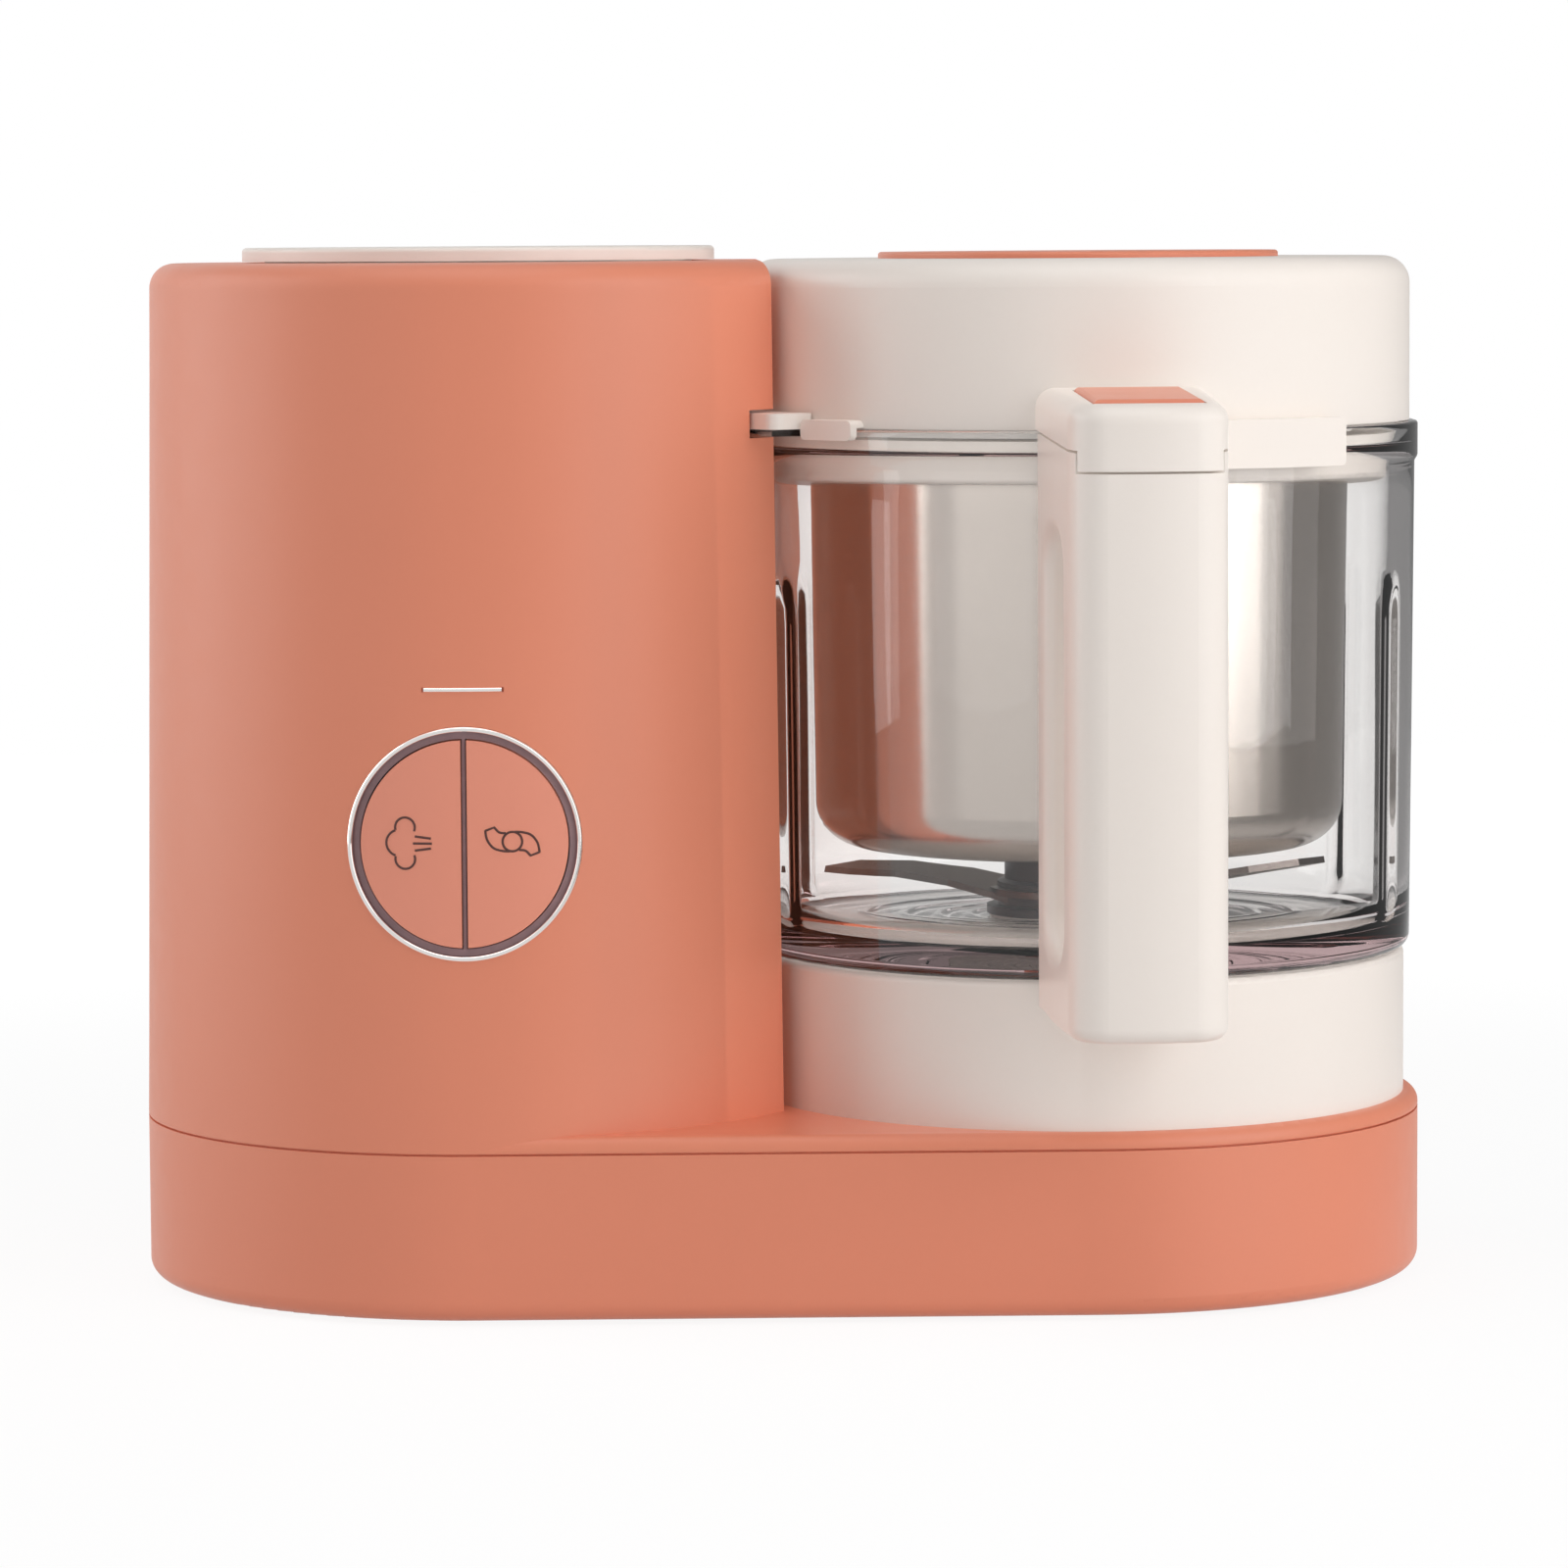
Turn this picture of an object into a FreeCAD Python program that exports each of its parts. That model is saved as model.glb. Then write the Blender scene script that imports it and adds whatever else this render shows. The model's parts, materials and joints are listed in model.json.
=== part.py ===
import FreeCAD, Part
import math
import os
import Sketcher

# A worktop baby food maker that steams and blends. Lengths are in millimetres.
# X runs to the right, Y runs to the back and Z runs up from the face of the feet.
# Three upright axes carry the round pieces: the base, the tower and the bowl.

SIZES = [
    # Base
    ("base_span", 66.42, "tower axis and bowl axis either side of the base middle"),
    ("base_radius", 75.58, "end radius of the stadium base"),
    ("axis_back", 20.43, "upright axes behind the middle of the whole box"),
    ("shell_wall", 2.6, "wall of the mouldings"),
    ("foot_lift", 0.9, "underside of the tray above the table"),
    ("foot_radius", 9.0, "rubber foot"),
    ("foot_sink", 1.5, "depth of a foot in the tray"),
    ("foot_spread", 36.0, "feet outward from an end axis, both ways"),
    ("tray_floor", 2.4, "floor thickness of the tray"),
    ("tray_round", 4.0, "rounding of the lower edge"),
    ("seam_level", 37.2, "seam of tray and upper housing"),
    ("seam_gap", 0.5, "height of the shadow line at the seam"),
    ("seam_depth", 1.2, "depth of the shadow line"),
    ("vent_inner", 13.0, "inner end of the vents around the bowl axis"),
    ("vent_outer", 29.0, "outer end of the vents"),
    ("vent_half", 1.6, "half width of a vent"),
    ("gland_side", -20.0, "cord gland beside the base middle"),
    ("gland_level", 21.2, "height of the cord gland"),
    ("gland_radius", 6.0, "cord gland in the wall"),
    ("gland_flange", 8.5, "flange of the gland inside the tray"),
    ("gland_bore", 3.6, "bore for the cord"),
    ("gland_length", 5.6, "length of the gland"),
    # Screws
    ("screw_circle", 62.0, "case screws around each end axis"),
    ("screw_shank", 2.0, "radius of the screws"),
    ("screw_length", 16.0, "length of the screws under the head"),
    ("screw_head", 3.6, "head radius of the screws"),
    ("screw_drop", 2.4, "head height of the screws"),
    ("screw_seat", 9.2, "level under the heads of the case screws"),
    ("boss_radius", 6.5, "tray bosses"),
    ("boss_level", 13.2, "meeting level of tray bosses and housing posts"),
    ("post_radius", 4.6, "housing posts"),
    # Upper housing
    ("deck_level", 40.5, "top of the deck"),
    ("deck_round", 2.8, "rounding of the deck edge"),
    ("crown_radius", 72.6, "tower radius at its top"),
    ("tower_top", 225.6, "top face of the tower"),
    ("tower_round", 5.5, "rounding of the tower top"),
    ("pocket_radius", 76.4, "hollow in the tower around the bowl"),
    ("notch_radius", 85.0, "lock notch around the bowl axis"),
    ("notch_low", 187.4, "lower face of the lock notch"),
    ("notch_high", 193.5, "upper face of the lock notch"),
    ("mouth_radius", 49.0, "filling mouth in the tower top"),
    ("wire_hole", 28.0, "hole in the deck under the tower"),
    ("motor_hole", 60.0, "hole in the deck under the pedestal"),
    # Controls
    ("panel_side", -1.85, "middle of the control panel beside the tower axis"),
    ("ring_level", 103.2, "height of the control ring"),
    ("ring_radius", 24.95, "outside of the chrome ring"),
    ("ring_width", 1.15, "face width of the chrome ring"),
    ("ring_proud", 0.55, "chrome ring proud of the tower"),
    ("light_width", 1.5, "face width of the light ring"),
    ("light_sink", 0.7, "light ring below the tower face"),
    ("button_split", 1.3, "gap between the half buttons"),
    ("divider_half", 0.35, "half width of the bar between the buttons"),
    ("button_gap", 0.3, "gap between buttons and light ring"),
    ("panel_depth", 5.0, "depth of the ring and the buttons"),
    ("stem_radius", 2.0, "push stems"),
    ("stem_side", 11.0, "button stems beside the panel middle"),
    ("carrier_front", 63.5, "front of the button carrier before the tower axis"),
    ("carrier_plate", 2.5, "thickness of the button carrier"),
    ("board_front", 54.4, "front of the control board before the tower axis"),
    ("board_sheet", 1.6, "thickness of a board"),
    ("switch_height", 2.8, "push switches on the board"),
    ("accent_level", 135.9, "height of the accent bar"),
    ("accent_half", 8.7, "half length of the accent bar"),
    ("accent_height", 1.0, "height of the accent bar face"),
    ("accent_proud", 0.3, "accent bar proud of the tower"),
    ("accent_sink", 1.3, "depth of the accent bar in the tower"),
    # Boiler
    ("vessel_radius", 44.0, "boiler vessel"),
    ("vessel_floor", 133.2, "underside of the boiler vessel"),
    ("vessel_wall", 1.2, "wall of the boiler vessel"),
    ("plate_radius", 40.0, "heat plate"),
    ("plate_height", 6.0, "thickness of the heat plate"),
    ("element_radius", 29.0, "ring of the heating element"),
    ("element_tube", 3.6, "tube radius of the heating element"),
    ("boiler_post_circle", 36.8, "boiler posts around the tower axis"),
    ("steam_level", 207.2, "height of the steam outlet"),
    ("duct_radius", 5.5, "steam duct"),
    ("duct_bore", 4.3, "bore of the steam duct"),
    ("nozzle_radius", 7.0, "steam nozzle"),
    ("cap_radius", 52.2, "tank cap"),
    ("cap_low", 225.9, "underside of the tank cap"),
    ("cap_top", 228.86, "top of the tank cap"),
    # Pedestal and motor
    ("pedestal_radius", 72.37, "motor pedestal"),
    ("pedestal_top", 72.4, "seat of the bowl"),
    ("pedestal_plate", 3.0, "thickness of the seat"),
    ("pedestal_circle", 64.5, "pedestal screws around the bowl axis"),
    ("well_radius", 25.0, "drive well"),
    ("well_floor", 57.2, "floor of the drive well"),
    ("motor_circle", 46.0, "motor posts around the bowl axis"),
    ("motor_post_low", 54.2, "lower end of the motor posts"),
    ("shaft_radius", 4.0, "motor shaft and blade shaft"),
    ("running_gap", 0.05, "radial clearance of the shafts"),
    ("shaft_low", 6.2, "lower end of the motor shaft"),
    ("shaft_high", 61.2, "upper end of the motor shaft"),
    ("fan_low", 7.2, "underside of the cooling fan"),
    ("fan_high", 11.8, "top of the cooling fan"),
    ("fan_radius", 28.0, "cooling fan"),
    ("lower_plate", 12.7, "underside of the lower bracket"),
    ("upper_plate", 47.7, "underside of the upper bracket"),
    ("bracket_sheet", 2.5, "thickness of the brackets"),
    ("bracket_radius", 42.0, "disc of the upper bracket"),
    ("arm_half", 6.0, "half width of the bracket arms"),
    ("bearing_radius", 8.0, "outside of the bearings"),
    ("bearing_height", 6.0, "height of the bearings"),
    ("cup_radius", 10.6, "bearing cups of the brackets"),
    ("commutator_low", 19.0, "lower end of the commutator"),
    ("commutator_high", 23.4, "upper end of the commutator"),
    ("commutator_radius", 9.0, "commutator"),
    ("stator_low", 27.2, "lower end of stator and rotor"),
    ("stator_high", 43.2, "upper end of stator and rotor"),
    ("stator_radius", 34.0, "outside of the stator"),
    ("rotor_radius", 17.8, "rotor"),
    ("air_gap", 0.7, "gap between rotor and stator"),
    ("coil_height", 3.4, "coil heads beyond the stator"),
    ("coil_inner", 21.0, "inside of the coil heads"),
    ("coil_outer", 31.0, "outside of the coil heads"),
    ("tie_reach", 37.5, "tie bolts beside the bowl axis"),
    ("tie_radius", 1.5, "tie bolts"),
    ("damper_radius", 5.5, "rubber dampers"),
    # Drive and blade
    ("coupling_radius", 14.0, "couplings"),
    ("dog_inner", 7.0, "inside of the coupling dogs"),
    ("dog_outer", 13.5, "outside of the coupling dogs"),
    ("dog_height", 4.0, "height of the coupling dogs"),
    ("mesh_gap", 0.3, "clearance of the couplings"),
    ("blade_reach", 57.5, "tip of the blade from the bowl axis"),
    ("blade_sheet", 1.5, "thickness of the blade"),
    ("hub_radius", 18.2, "foot of the blade hub"),
    ("hub_crown", 16.6, "top of the blade hub"),
    ("blade_rise", 9.5, "upward tilt of the blade wings, degrees"),
    ("blade_pitch", 10.0, "twist of the blade wings about their length, degrees"),
    ("bush_radius", 9.3, "bush in the bowl floor"),
    ("bush_flange", 20.6, "flange of the bush"),
    # Bowl
    ("bowl_foot", 72.7, "foot of the glass bowl"),
    ("bowl_floor", 78.7, "inside floor of the glass bowl"),
    ("bowl_recess", 74.6, "recess under the glass floor"),
    ("bowl_rim", 189.4, "rim of the glass bowl"),
    ("bowl_foot_radius", 73.6, "glass radius above the foot"),
    ("bowl_rim_radius", 75.2, "glass radius at the rim"),
    ("bowl_bead", 0.7, "rim bead proud of the wall"),
    ("bowl_wall", 5.6, "wall of the glass bowl"),
    ("ledge_level", 184.6, "ledge that carries the basket ring"),
    ("ledge_width", 3.8, "wall of the rim above the ledge"),
    ("rib_radius", 2.8, "upright glass ribs"),
    ("rib_top", 153.2, "top of the glass ribs"),
    ("lug_radius", 84.2, "lock lug around the bowl axis"),
    ("lug_height", 3.4, "height of the lock lug"),
    ("lug_glass", 1.5, "height of the glass under the lock lug"),
    ("lug_round", 3.0, "rounding of the ends of the lock lug"),
    # Handle and latch head
    ("handle_reach", 116.4, "front of the grip from the bowl axis"),
    ("handle_angle", 4.0, "handle turned to the right of the front, degrees"),
    ("spine_half", 18.7, "half width of the handle at the glass"),
    ("grip_half", 16.4, "half width of the handle at the front"),
    ("spine_front", 79.6, "front of the spine from the bowl axis"),
    ("spine_face", 75.8, "back of the spine from the bowl axis"),
    ("grip_depth", 15.5, "front to back of the grip"),
    ("grip_round", 9.0, "rounding of the front corners and of the finger gap"),
    ("grip_crown", 2.6, "height of the crown on the grip front"),
    ("grip_end", 3.0, "rounding of the lower end of the grip"),
    ("grip_edge", 3.0, "rounding of the grip along the fingers"),
    ("handle_low", 64.7, "lower end of the grip"),
    ("spine_low", 67.7, "lower end of the spine"),
    ("gap_low", 80.2, "bottom of the finger gap"),
    ("gap_high", 169.2, "top of the finger gap"),
    ("head_top", 198.6, "top of the latch head"),
    ("head_fall", 2.6, "fall of the head's top from the glass to the front"),
    ("head_round", 4.0, "rounding of the latch head"),
    ("split_back", 189.0, "split of handle and head at the glass"),
    ("split_front", 186.2, "split before the step"),
    ("split_lip", 182.0, "split under the front lip"),
    ("split_gap", 0.5, "gap along the split"),
    ("lip_depth", 5.0, "front to back of the lip"),
    ("release_half", 11.4, "half width of the release button"),
    ("release_back", 79.0, "back of the release button from the bowl axis"),
    ("release_front", 110.5, "front of the release button from the bowl axis"),
    ("release_proud", 0.7, "release button proud of the head"),
    ("release_stem", 94.0, "stem of the release button from the bowl axis"),
    ("release_low", 184.8, "lower end of the release stem"),
    # Lid
    ("lid_radius", 73.36, "outside of the lid"),
    ("lid_low", 189.7, "lower edge of the lid"),
    ("lid_top", 225.7, "top face of the lid"),
    ("lid_wall", 2.4, "wall of the lid"),
    ("lid_round", 6.0, "rounding of the lid top"),
    ("inlay_radius", 44.3, "coloured inlay of the lid"),
    ("inlay_sink", 1.4, "depth of the inlay in the lid"),
    ("inlay_top", 227.1, "top of the inlay"),
    ("guide_radius", 7.6, "steam guide of the lid"),
    ("guide_bore", 6.0, "bore of the steam guide"),
    ("strap_radius", 78.2, "outside of the lid strap"),
    ("strap_low", 181.3, "lower edge of the lid strap"),
    ("strap_high", 191.6, "upper edge of the lid strap"),
    ("strap_round", 1.3, "rounding of the strap and tab corners"),
    ("tab_radius", 77.8, "outside of the lid tab"),
    ("tab_low", 187.2, "lower edge of the lid tab"),
    ("tab_high", 191.5, "upper edge of the lid tab"),
    # Basket
    ("basket_radius", 59.7, "steel basket at its top"),
    ("basket_foot_radius", 58.6, "steel basket at its foot"),
    ("basket_floor", 95.8, "underside of the steel basket"),
    ("basket_sheet", 0.8, "sheet of the steel basket"),
    ("basket_round", 10.0, "rounding of the basket foot"),
    ("basket_lip", 187.2, "top of the basket lip and ring"),
    ("basket_lip_width", 3.4, "lip of the steel basket"),
    ("basket_hole", 1.6, "steam holes in the basket floor"),
    ("basket_ring_radius", 68.2, "skirt of the basket ring"),
    ("basket_ring_low", 178.4, "lower edge of the basket ring"),
]
SPARE = 5.0  # cutting tools run past the faces that they cut
BITE = 0.5  # joined pieces reach into each other
VENTS = 12

doc = FreeCAD.newDocument("baby_food_maker")
sheet = doc.addObject("Spreadsheet::Sheet", "sizes")


class Size:
    """A length as a value and as the expression that ties it to the sheet."""

    def __init__(self, value, text):
        self.value = value
        self.text = text

    def __add__(self, other):
        return Size(self.value + value_of(other), "(" + self.text + " + " + text_of(other) + ")")

    def __sub__(self, other):
        return Size(self.value - value_of(other), "(" + self.text + " - " + text_of(other) + ")")

    def __mul__(self, other):
        return Size(self.value * value_of(other), "(" + self.text + " * " + text_of(other) + ")")

    def __truediv__(self, other):
        return Size(self.value / value_of(other), "(" + self.text + " / " + text_of(other) + ")")

    def __neg__(self):
        return self * -1.0

    def __radd__(self, other):
        return self + other

    def __rsub__(self, other):
        return -self + other

    def __rmul__(self, other):
        return self * other


def value_of(size):
    return size.value if isinstance(size, Size) else float(size)


def text_of(size):
    return size.text if isinstance(size, Size) else format(float(size), ".6f")


class Sheet:
    """The driving sizes by name."""


size = Sheet()
for row, (alias, value, note) in enumerate(SIZES, start=1):
    sheet.set("A" + str(row), alias)
    sheet.set("B" + str(row), str(value))
    sheet.set("C" + str(row), note)
    sheet.setAlias("B" + str(row), alias)
    setattr(size, alias, Size(value, "sizes." + alias))
doc.recompute()

AXES = {
    "base": (0, size.axis_back),
    "tower": (-size.base_span, size.axis_back),
    "bowl": (size.base_span, size.axis_back),
}
UP = FreeCAD.Rotation()
TO_RIGHT = FreeCAD.Rotation(FreeCAD.Vector(0, 1, 0), 90)
TO_BACK = FreeCAD.Rotation(FreeCAD.Vector(1, 0, 0), -90)
nodes = []

# Building blocks: primitives, booleans and sketched bodies, all bound to the sheet.


def place(item, x, y, z, rotation=UP):
    base = FreeCAD.Vector(value_of(x), value_of(y), value_of(z))
    item.Placement = FreeCAD.Placement(base, rotation)
    item.setExpression("Placement.Base.x", text_of(x))
    item.setExpression("Placement.Base.y", text_of(y))
    item.setExpression("Placement.Base.z", text_of(z))
    return item


def cylinder(radius, low, high, x=0, y=0, start=0, sweep=360):
    item = doc.addObject("Part::Cylinder", "round")
    item.Angle = sweep
    item.setExpression("Radius", text_of(radius))
    item.setExpression("Height", text_of(high - low))
    return place(item, x, y, low, FreeCAD.Rotation(FreeCAD.Vector(0, 0, 1), start))


def rod(radius, rotation, length, x, y, z):
    item = doc.addObject("Part::Cylinder", "rod")
    item.setExpression("Radius", text_of(radius))
    item.setExpression("Height", text_of(length))
    return place(item, x, y, z, rotation)


def cone(foot, crown, low, high, x=0):
    item = doc.addObject("Part::Cone", "cone")
    item.setExpression("Radius1", text_of(foot))
    item.setExpression("Radius2", text_of(crown))
    item.setExpression("Height", text_of(high - low))
    return place(item, x, 0, low)


def ball(radius, x, y, z):
    item = doc.addObject("Part::Sphere", "ball")
    item.setExpression("Radius", text_of(radius))
    return place(item, x, y, z)


def block(x_range, y_range, z_range, turn=0):
    item = doc.addObject("Part::Box", "block")
    ranges = (x_range, y_range, z_range)
    for name, (low, high) in zip(("Length", "Width", "Height"), ranges):
        item.setExpression(name, text_of(high - low))
    a = math.radians(turn)
    x = x_range[0] * math.cos(a) - y_range[0] * math.sin(a)
    y = x_range[0] * math.sin(a) + y_range[0] * math.cos(a)
    return place(item, x, y, z_range[0], FreeCAD.Rotation(FreeCAD.Vector(0, 0, 1), turn))


def fuse(items):
    if len(items) == 1:
        return items[0]
    result = doc.addObject("Part::MultiFuse", "joined")
    result.Shapes = items
    return result


def cut(item, tools):
    result = doc.addObject("Part::Cut", "cut")
    result.Base = item
    result.Tool = fuse(tools)
    return result


def common(items):
    result = doc.addObject("Part::MultiCommon", "shared")
    result.Shapes = items
    return result


def rounded(item, radius, pick):
    doc.recompute()
    result = doc.addObject("Part::Fillet", "rounded")
    result.Base = item
    chosen = [i for i, edge in enumerate(item.Shape.Edges, start=1) if pick(edge)]
    result.Edges = [(i, value_of(radius), value_of(radius)) for i in chosen]
    return result


def tube(inner, outer, low, high, x=0, y=0):
    return cut(cylinder(outer, low, high, x, y), [cylinder(inner, low, high, x, y)])


def sector(inner, outer, low, high, start, sweep):
    return cut(cylinder(outer, low, high, 0, 0, start, sweep), [cylinder(inner, low, high)])


def around(count, radius, start=0.0):
    step = 2 * math.pi / count
    angles = [math.radians(start) + step * i for i in range(count)]
    return [(math.cos(a) * radius, math.sin(a) * radius) for a in angles]


def at_level(level):
    def pick(edge):
        box = edge.BoundBox
        return abs(box.ZMin - value_of(level)) < 0.01 and abs(box.ZMax - value_of(level)) < 0.01
    return pick


def new_body(name):
    return doc.addObject("PartDesign::Body", name)


def new_sketch(body, plane):
    sketch = body.newObject("Sketcher::SketchObject", "outline")
    origin_plane = [item for item in body.Origin.OriginFeatures if item.Role == plane][0]
    sketch.AttachmentSupport = [(origin_plane, "")]
    sketch.MapMode = "FlatFace"
    return sketch


def hold(sketch, kind, *arguments):
    index = sketch.addConstraint(Sketcher.Constraint(kind, *arguments[:-1], value_of(arguments[-1])))
    sketch.setExpression("Constraints[" + str(index) + "]", text_of(arguments[-1]))


def draw_polygon(sketch, points, front_radius=None):
    """A closed outline; with a front radius its last side is an arc that bulges to the front."""
    count = len(points)
    corners = [FreeCAD.Vector(value_of(x), value_of(y), 0) for x, y in points]
    crowned = None if front_radius is None else count - 1
    starts = [2 if i == crowned else 1 for i in range(count)]
    for i in range(count):
        side = Part.LineSegment(corners[i], corners[(i + 1) % count])
        if i == crowned:
            side = front_arc(corners[i], value_of(front_radius))
        sketch.addGeometry(side, False)
    for i in range(count):
        after = (i + 1) % count
        sketch.addConstraint(Sketcher.Constraint("Coincident", i, 3 - starts[i], after, starts[after]))
    for i, (x, y) in enumerate(points):
        hold(sketch, "DistanceX", -1, 1, i, starts[i], x)
        hold(sketch, "DistanceY", -1, 1, i, starts[i], y)
    if crowned is not None:
        hold(sketch, "Radius", crowned, front_radius)


def front_arc(corner, radius):
    """An arc from one front corner to its mirror image, with its middle on the Y axis."""
    depth = math.sqrt(radius * radius - corner.x * corner.x)
    circle = Part.Circle(FreeCAD.Vector(0, corner.y + depth, 0), FreeCAD.Vector(0, 0, 1), radius)
    swing = math.asin(corner.x / radius)
    return Part.ArcOfCircle(circle, 1.5 * math.pi - swing, 1.5 * math.pi + swing)


def turned(name, points, rounds=()):
    """A body of revolution about Z; rounds lists (radius, level, fillet)."""
    body = new_body(name)
    sketch = new_sketch(body, "XZ_Plane")
    draw_polygon(sketch, points)
    feature = body.newObject("PartDesign::Revolution", "turned")
    feature.Profile = sketch
    feature.ReferenceAxis = (sketch, ["V_Axis"])
    feature.Angle = 360
    for radius, level, fillet in rounds:
        doc.recompute()
        names = []
        for i, edge in enumerate(feature.Shape.Edges, start=1):
            flat = at_level(level)(edge)
            if flat and abs(edge.BoundBox.XMax - value_of(radius)) < 0.01:
                names.append("Edge" + str(i))
        base = feature
        feature = body.newObject("PartDesign::Fillet", "rounding")
        feature.Base = (base, names)
        feature.setExpression("Radius", text_of(fillet))
    return body


def stadium(radius, low, high):
    """A pad with round ends on the tower axis and the bowl axis."""
    body = new_body("stadium")
    sketch = new_sketch(body, "XY_Plane")
    r = value_of(radius)
    a = size.base_span.value
    up = FreeCAD.Vector(0, 0, 1)
    half = math.pi / 2
    right = Part.Circle(FreeCAD.Vector(a, 0, 0), up, r)
    left = Part.Circle(FreeCAD.Vector(-a, 0, 0), up, r)
    sketch.addGeometry(Part.LineSegment(FreeCAD.Vector(-a, r, 0), FreeCAD.Vector(a, r, 0)), False)
    sketch.addGeometry(Part.ArcOfCircle(right, -half, half), False)
    sketch.addGeometry(Part.LineSegment(FreeCAD.Vector(a, -r, 0), FreeCAD.Vector(-a, -r, 0)), False)
    sketch.addGeometry(Part.ArcOfCircle(left, half, 3 * half), False)
    for first, end, second, start in ((0, 2, 1, 2), (1, 1, 2, 1), (2, 2, 3, 2), (3, 1, 0, 1)):
        sketch.addConstraint(Sketcher.Constraint("Tangent", first, end, second, start))
    sketch.addConstraint(Sketcher.Constraint("PointOnObject", 1, 3, -1))
    sketch.addConstraint(Sketcher.Constraint("PointOnObject", 3, 3, -1))
    hold(sketch, "Radius", 1, radius)
    hold(sketch, "Radius", 3, radius)
    hold(sketch, "DistanceX", -1, 1, 1, 3, size.base_span)
    hold(sketch, "DistanceX", -1, 1, 3, 3, -size.base_span)
    sketch.setExpression("AttachmentOffset.Base.z", text_of(low))
    feature = body.newObject("PartDesign::Pad", "pad")
    feature.Profile = sketch
    feature.setExpression("Length", text_of(high - low))
    return body


def add_pad(body, plane, points, low, high, front_radius=None):
    sketch = new_sketch(body, plane)
    sketch.setExpression("AttachmentOffset.Base.z", text_of(low))
    draw_polygon(sketch, points, front_radius)
    feature = body.newObject("PartDesign::Pad", "pad")
    feature.Profile = sketch
    feature.setExpression("Length", text_of(high - low))
    return feature


def add_side_cut(body, points):
    """Cut an outline in the YZ plane right through both flanks."""
    sketch = new_sketch(body, "YZ_Plane")
    draw_polygon(sketch, points)
    feature = body.newObject("PartDesign::Pocket", "side_cut")
    feature.Profile = sketch
    feature.Type = "ThroughAll"
    feature.SideType = "Symmetric"
    return feature


def add_groove(body, points):
    sketch = new_sketch(body, "XZ_Plane")
    draw_polygon(sketch, points)
    feature = body.newObject("PartDesign::Groove", "groove")
    feature.Profile = sketch
    feature.ReferenceAxis = (sketch, ["V_Axis"])
    feature.Angle = 360
    return feature


def add_fillet(body, feature, radius, pick):
    doc.recompute()
    names = ["Edge" + str(i) for i, edge in enumerate(feature.Shape.Edges, start=1) if pick(edge)]
    result = body.newObject("PartDesign::Fillet", "rounding")
    result.Base = (feature, names)
    result.setExpression("Radius", text_of(radius))
    return result


def node(label, item, axis, turn=None):
    """Name a finished piece and stand it on its axis."""
    x, y = AXES[axis]
    rotation = FreeCAD.Rotation(FreeCAD.Vector(0, 0, 1), value_of(turn) if turn else 0)
    place(item, x, y, 0, rotation)
    if turn:
        item.setExpression("Placement.Rotation.Angle", text_of(turn))
    item.Label = label
    nodes.append(item)


def tower_skin(offset):
    """The tapered tower face, moved outward by offset."""
    return cone(size.base_radius + offset, size.crown_radius + offset, size.seam_level, size.tower_top)


def tower_hollow():
    """The space inside the tower wall."""
    return cone(size.base_radius - size.shell_wall, size.crown_radius - size.shell_wall,
                size.deck_level, size.tower_top - size.shell_wall)


def front_rod(radius):
    """A rod from the control panel's middle into the tower."""
    return rod(radius, TO_BACK, 50, size.panel_side, -95, size.ring_level)


def screw(x, y, low):
    """A screw driven upward, with the underside of its head at low."""
    shank = cylinder(size.screw_shank, low, low + size.screw_length, x, y)
    return fuse([shank, cylinder(size.screw_head, low - size.screw_drop, low, x, y)])


# Base: tray, feet, screws and gland.

case_points = []
for side, angles in ((-1, (110, 250)), (1, (70, 290))):
    for angle in angles:
        a = math.radians(angle)
        point_x = side * size.base_span + math.cos(a) * size.screw_circle
        case_points.append((point_x, math.sin(a) * size.screw_circle))
    case_points.append((side * (size.base_span + size.screw_circle), 0))
foot_points = []
for side in (-1, 1):
    for front in (-1, 1):
        foot_points.append((side * (size.base_span + size.foot_spread), front * size.foot_spread))

tray_low = size.foot_lift
floor_top = size.foot_lift + size.tray_floor
tray_solid = stadium(size.base_radius, tray_low, size.seam_level)
tray_outer = rounded(tray_solid, size.tray_round, at_level(tray_low))
tray_inner = stadium(size.base_radius - size.shell_wall, floor_top, size.seam_level + SPARE)
tray_bosses = [cylinder(size.boss_radius, tray_low + BITE, size.boss_level, x, y)
               for x, y in case_points]
seam_low = size.seam_level - size.seam_gap
seam_line = cut(
    stadium(size.base_radius + SPARE, seam_low, size.seam_level + SPARE),
    [stadium(size.base_radius - size.seam_depth, seam_low - SPARE, size.seam_level + 2 * SPARE)],
)
tray_holes = [seam_line]
for x, y in case_points:
    tray_holes.append(cylinder(size.screw_head + 0.6, tray_low - SPARE, size.screw_seat, x, y))
    tray_holes.append(cylinder(size.screw_shank + 0.3, size.screw_seat - BITE,
                               size.boss_level + SPARE, x, y))
for x, y in foot_points:
    tray_holes.append(cylinder(size.foot_radius + 0.1, tray_low - SPARE,
                               tray_low + size.foot_sink, x, y))
vent_turns = [360 / VENTS * (i + 0.5) for i in range(VENTS)]
vents = [block((size.vent_inner, size.vent_outer), (-size.vent_half, size.vent_half),
               (0, floor_top + SPARE), turn) for turn in vent_turns]
tray_holes.append(place(fuse(vents), size.base_span, 0, 0))
tray_holes.append(rod(size.gland_radius + 0.05, TO_BACK, 3 * SPARE,
                      size.gland_side, size.base_radius - 2 * SPARE, size.gland_level))
node("base_tray", cut(fuse([cut(tray_outer, [tray_inner])] + tray_bosses), tray_holes), "base")

feet = [cylinder(size.foot_radius, 0, tray_low + size.foot_sink, x, y) for x, y in foot_points]
node("rubber_feet", fuse(feet), "base")
screws = [screw(x, y, size.screw_seat) for x, y in case_points]

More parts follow.
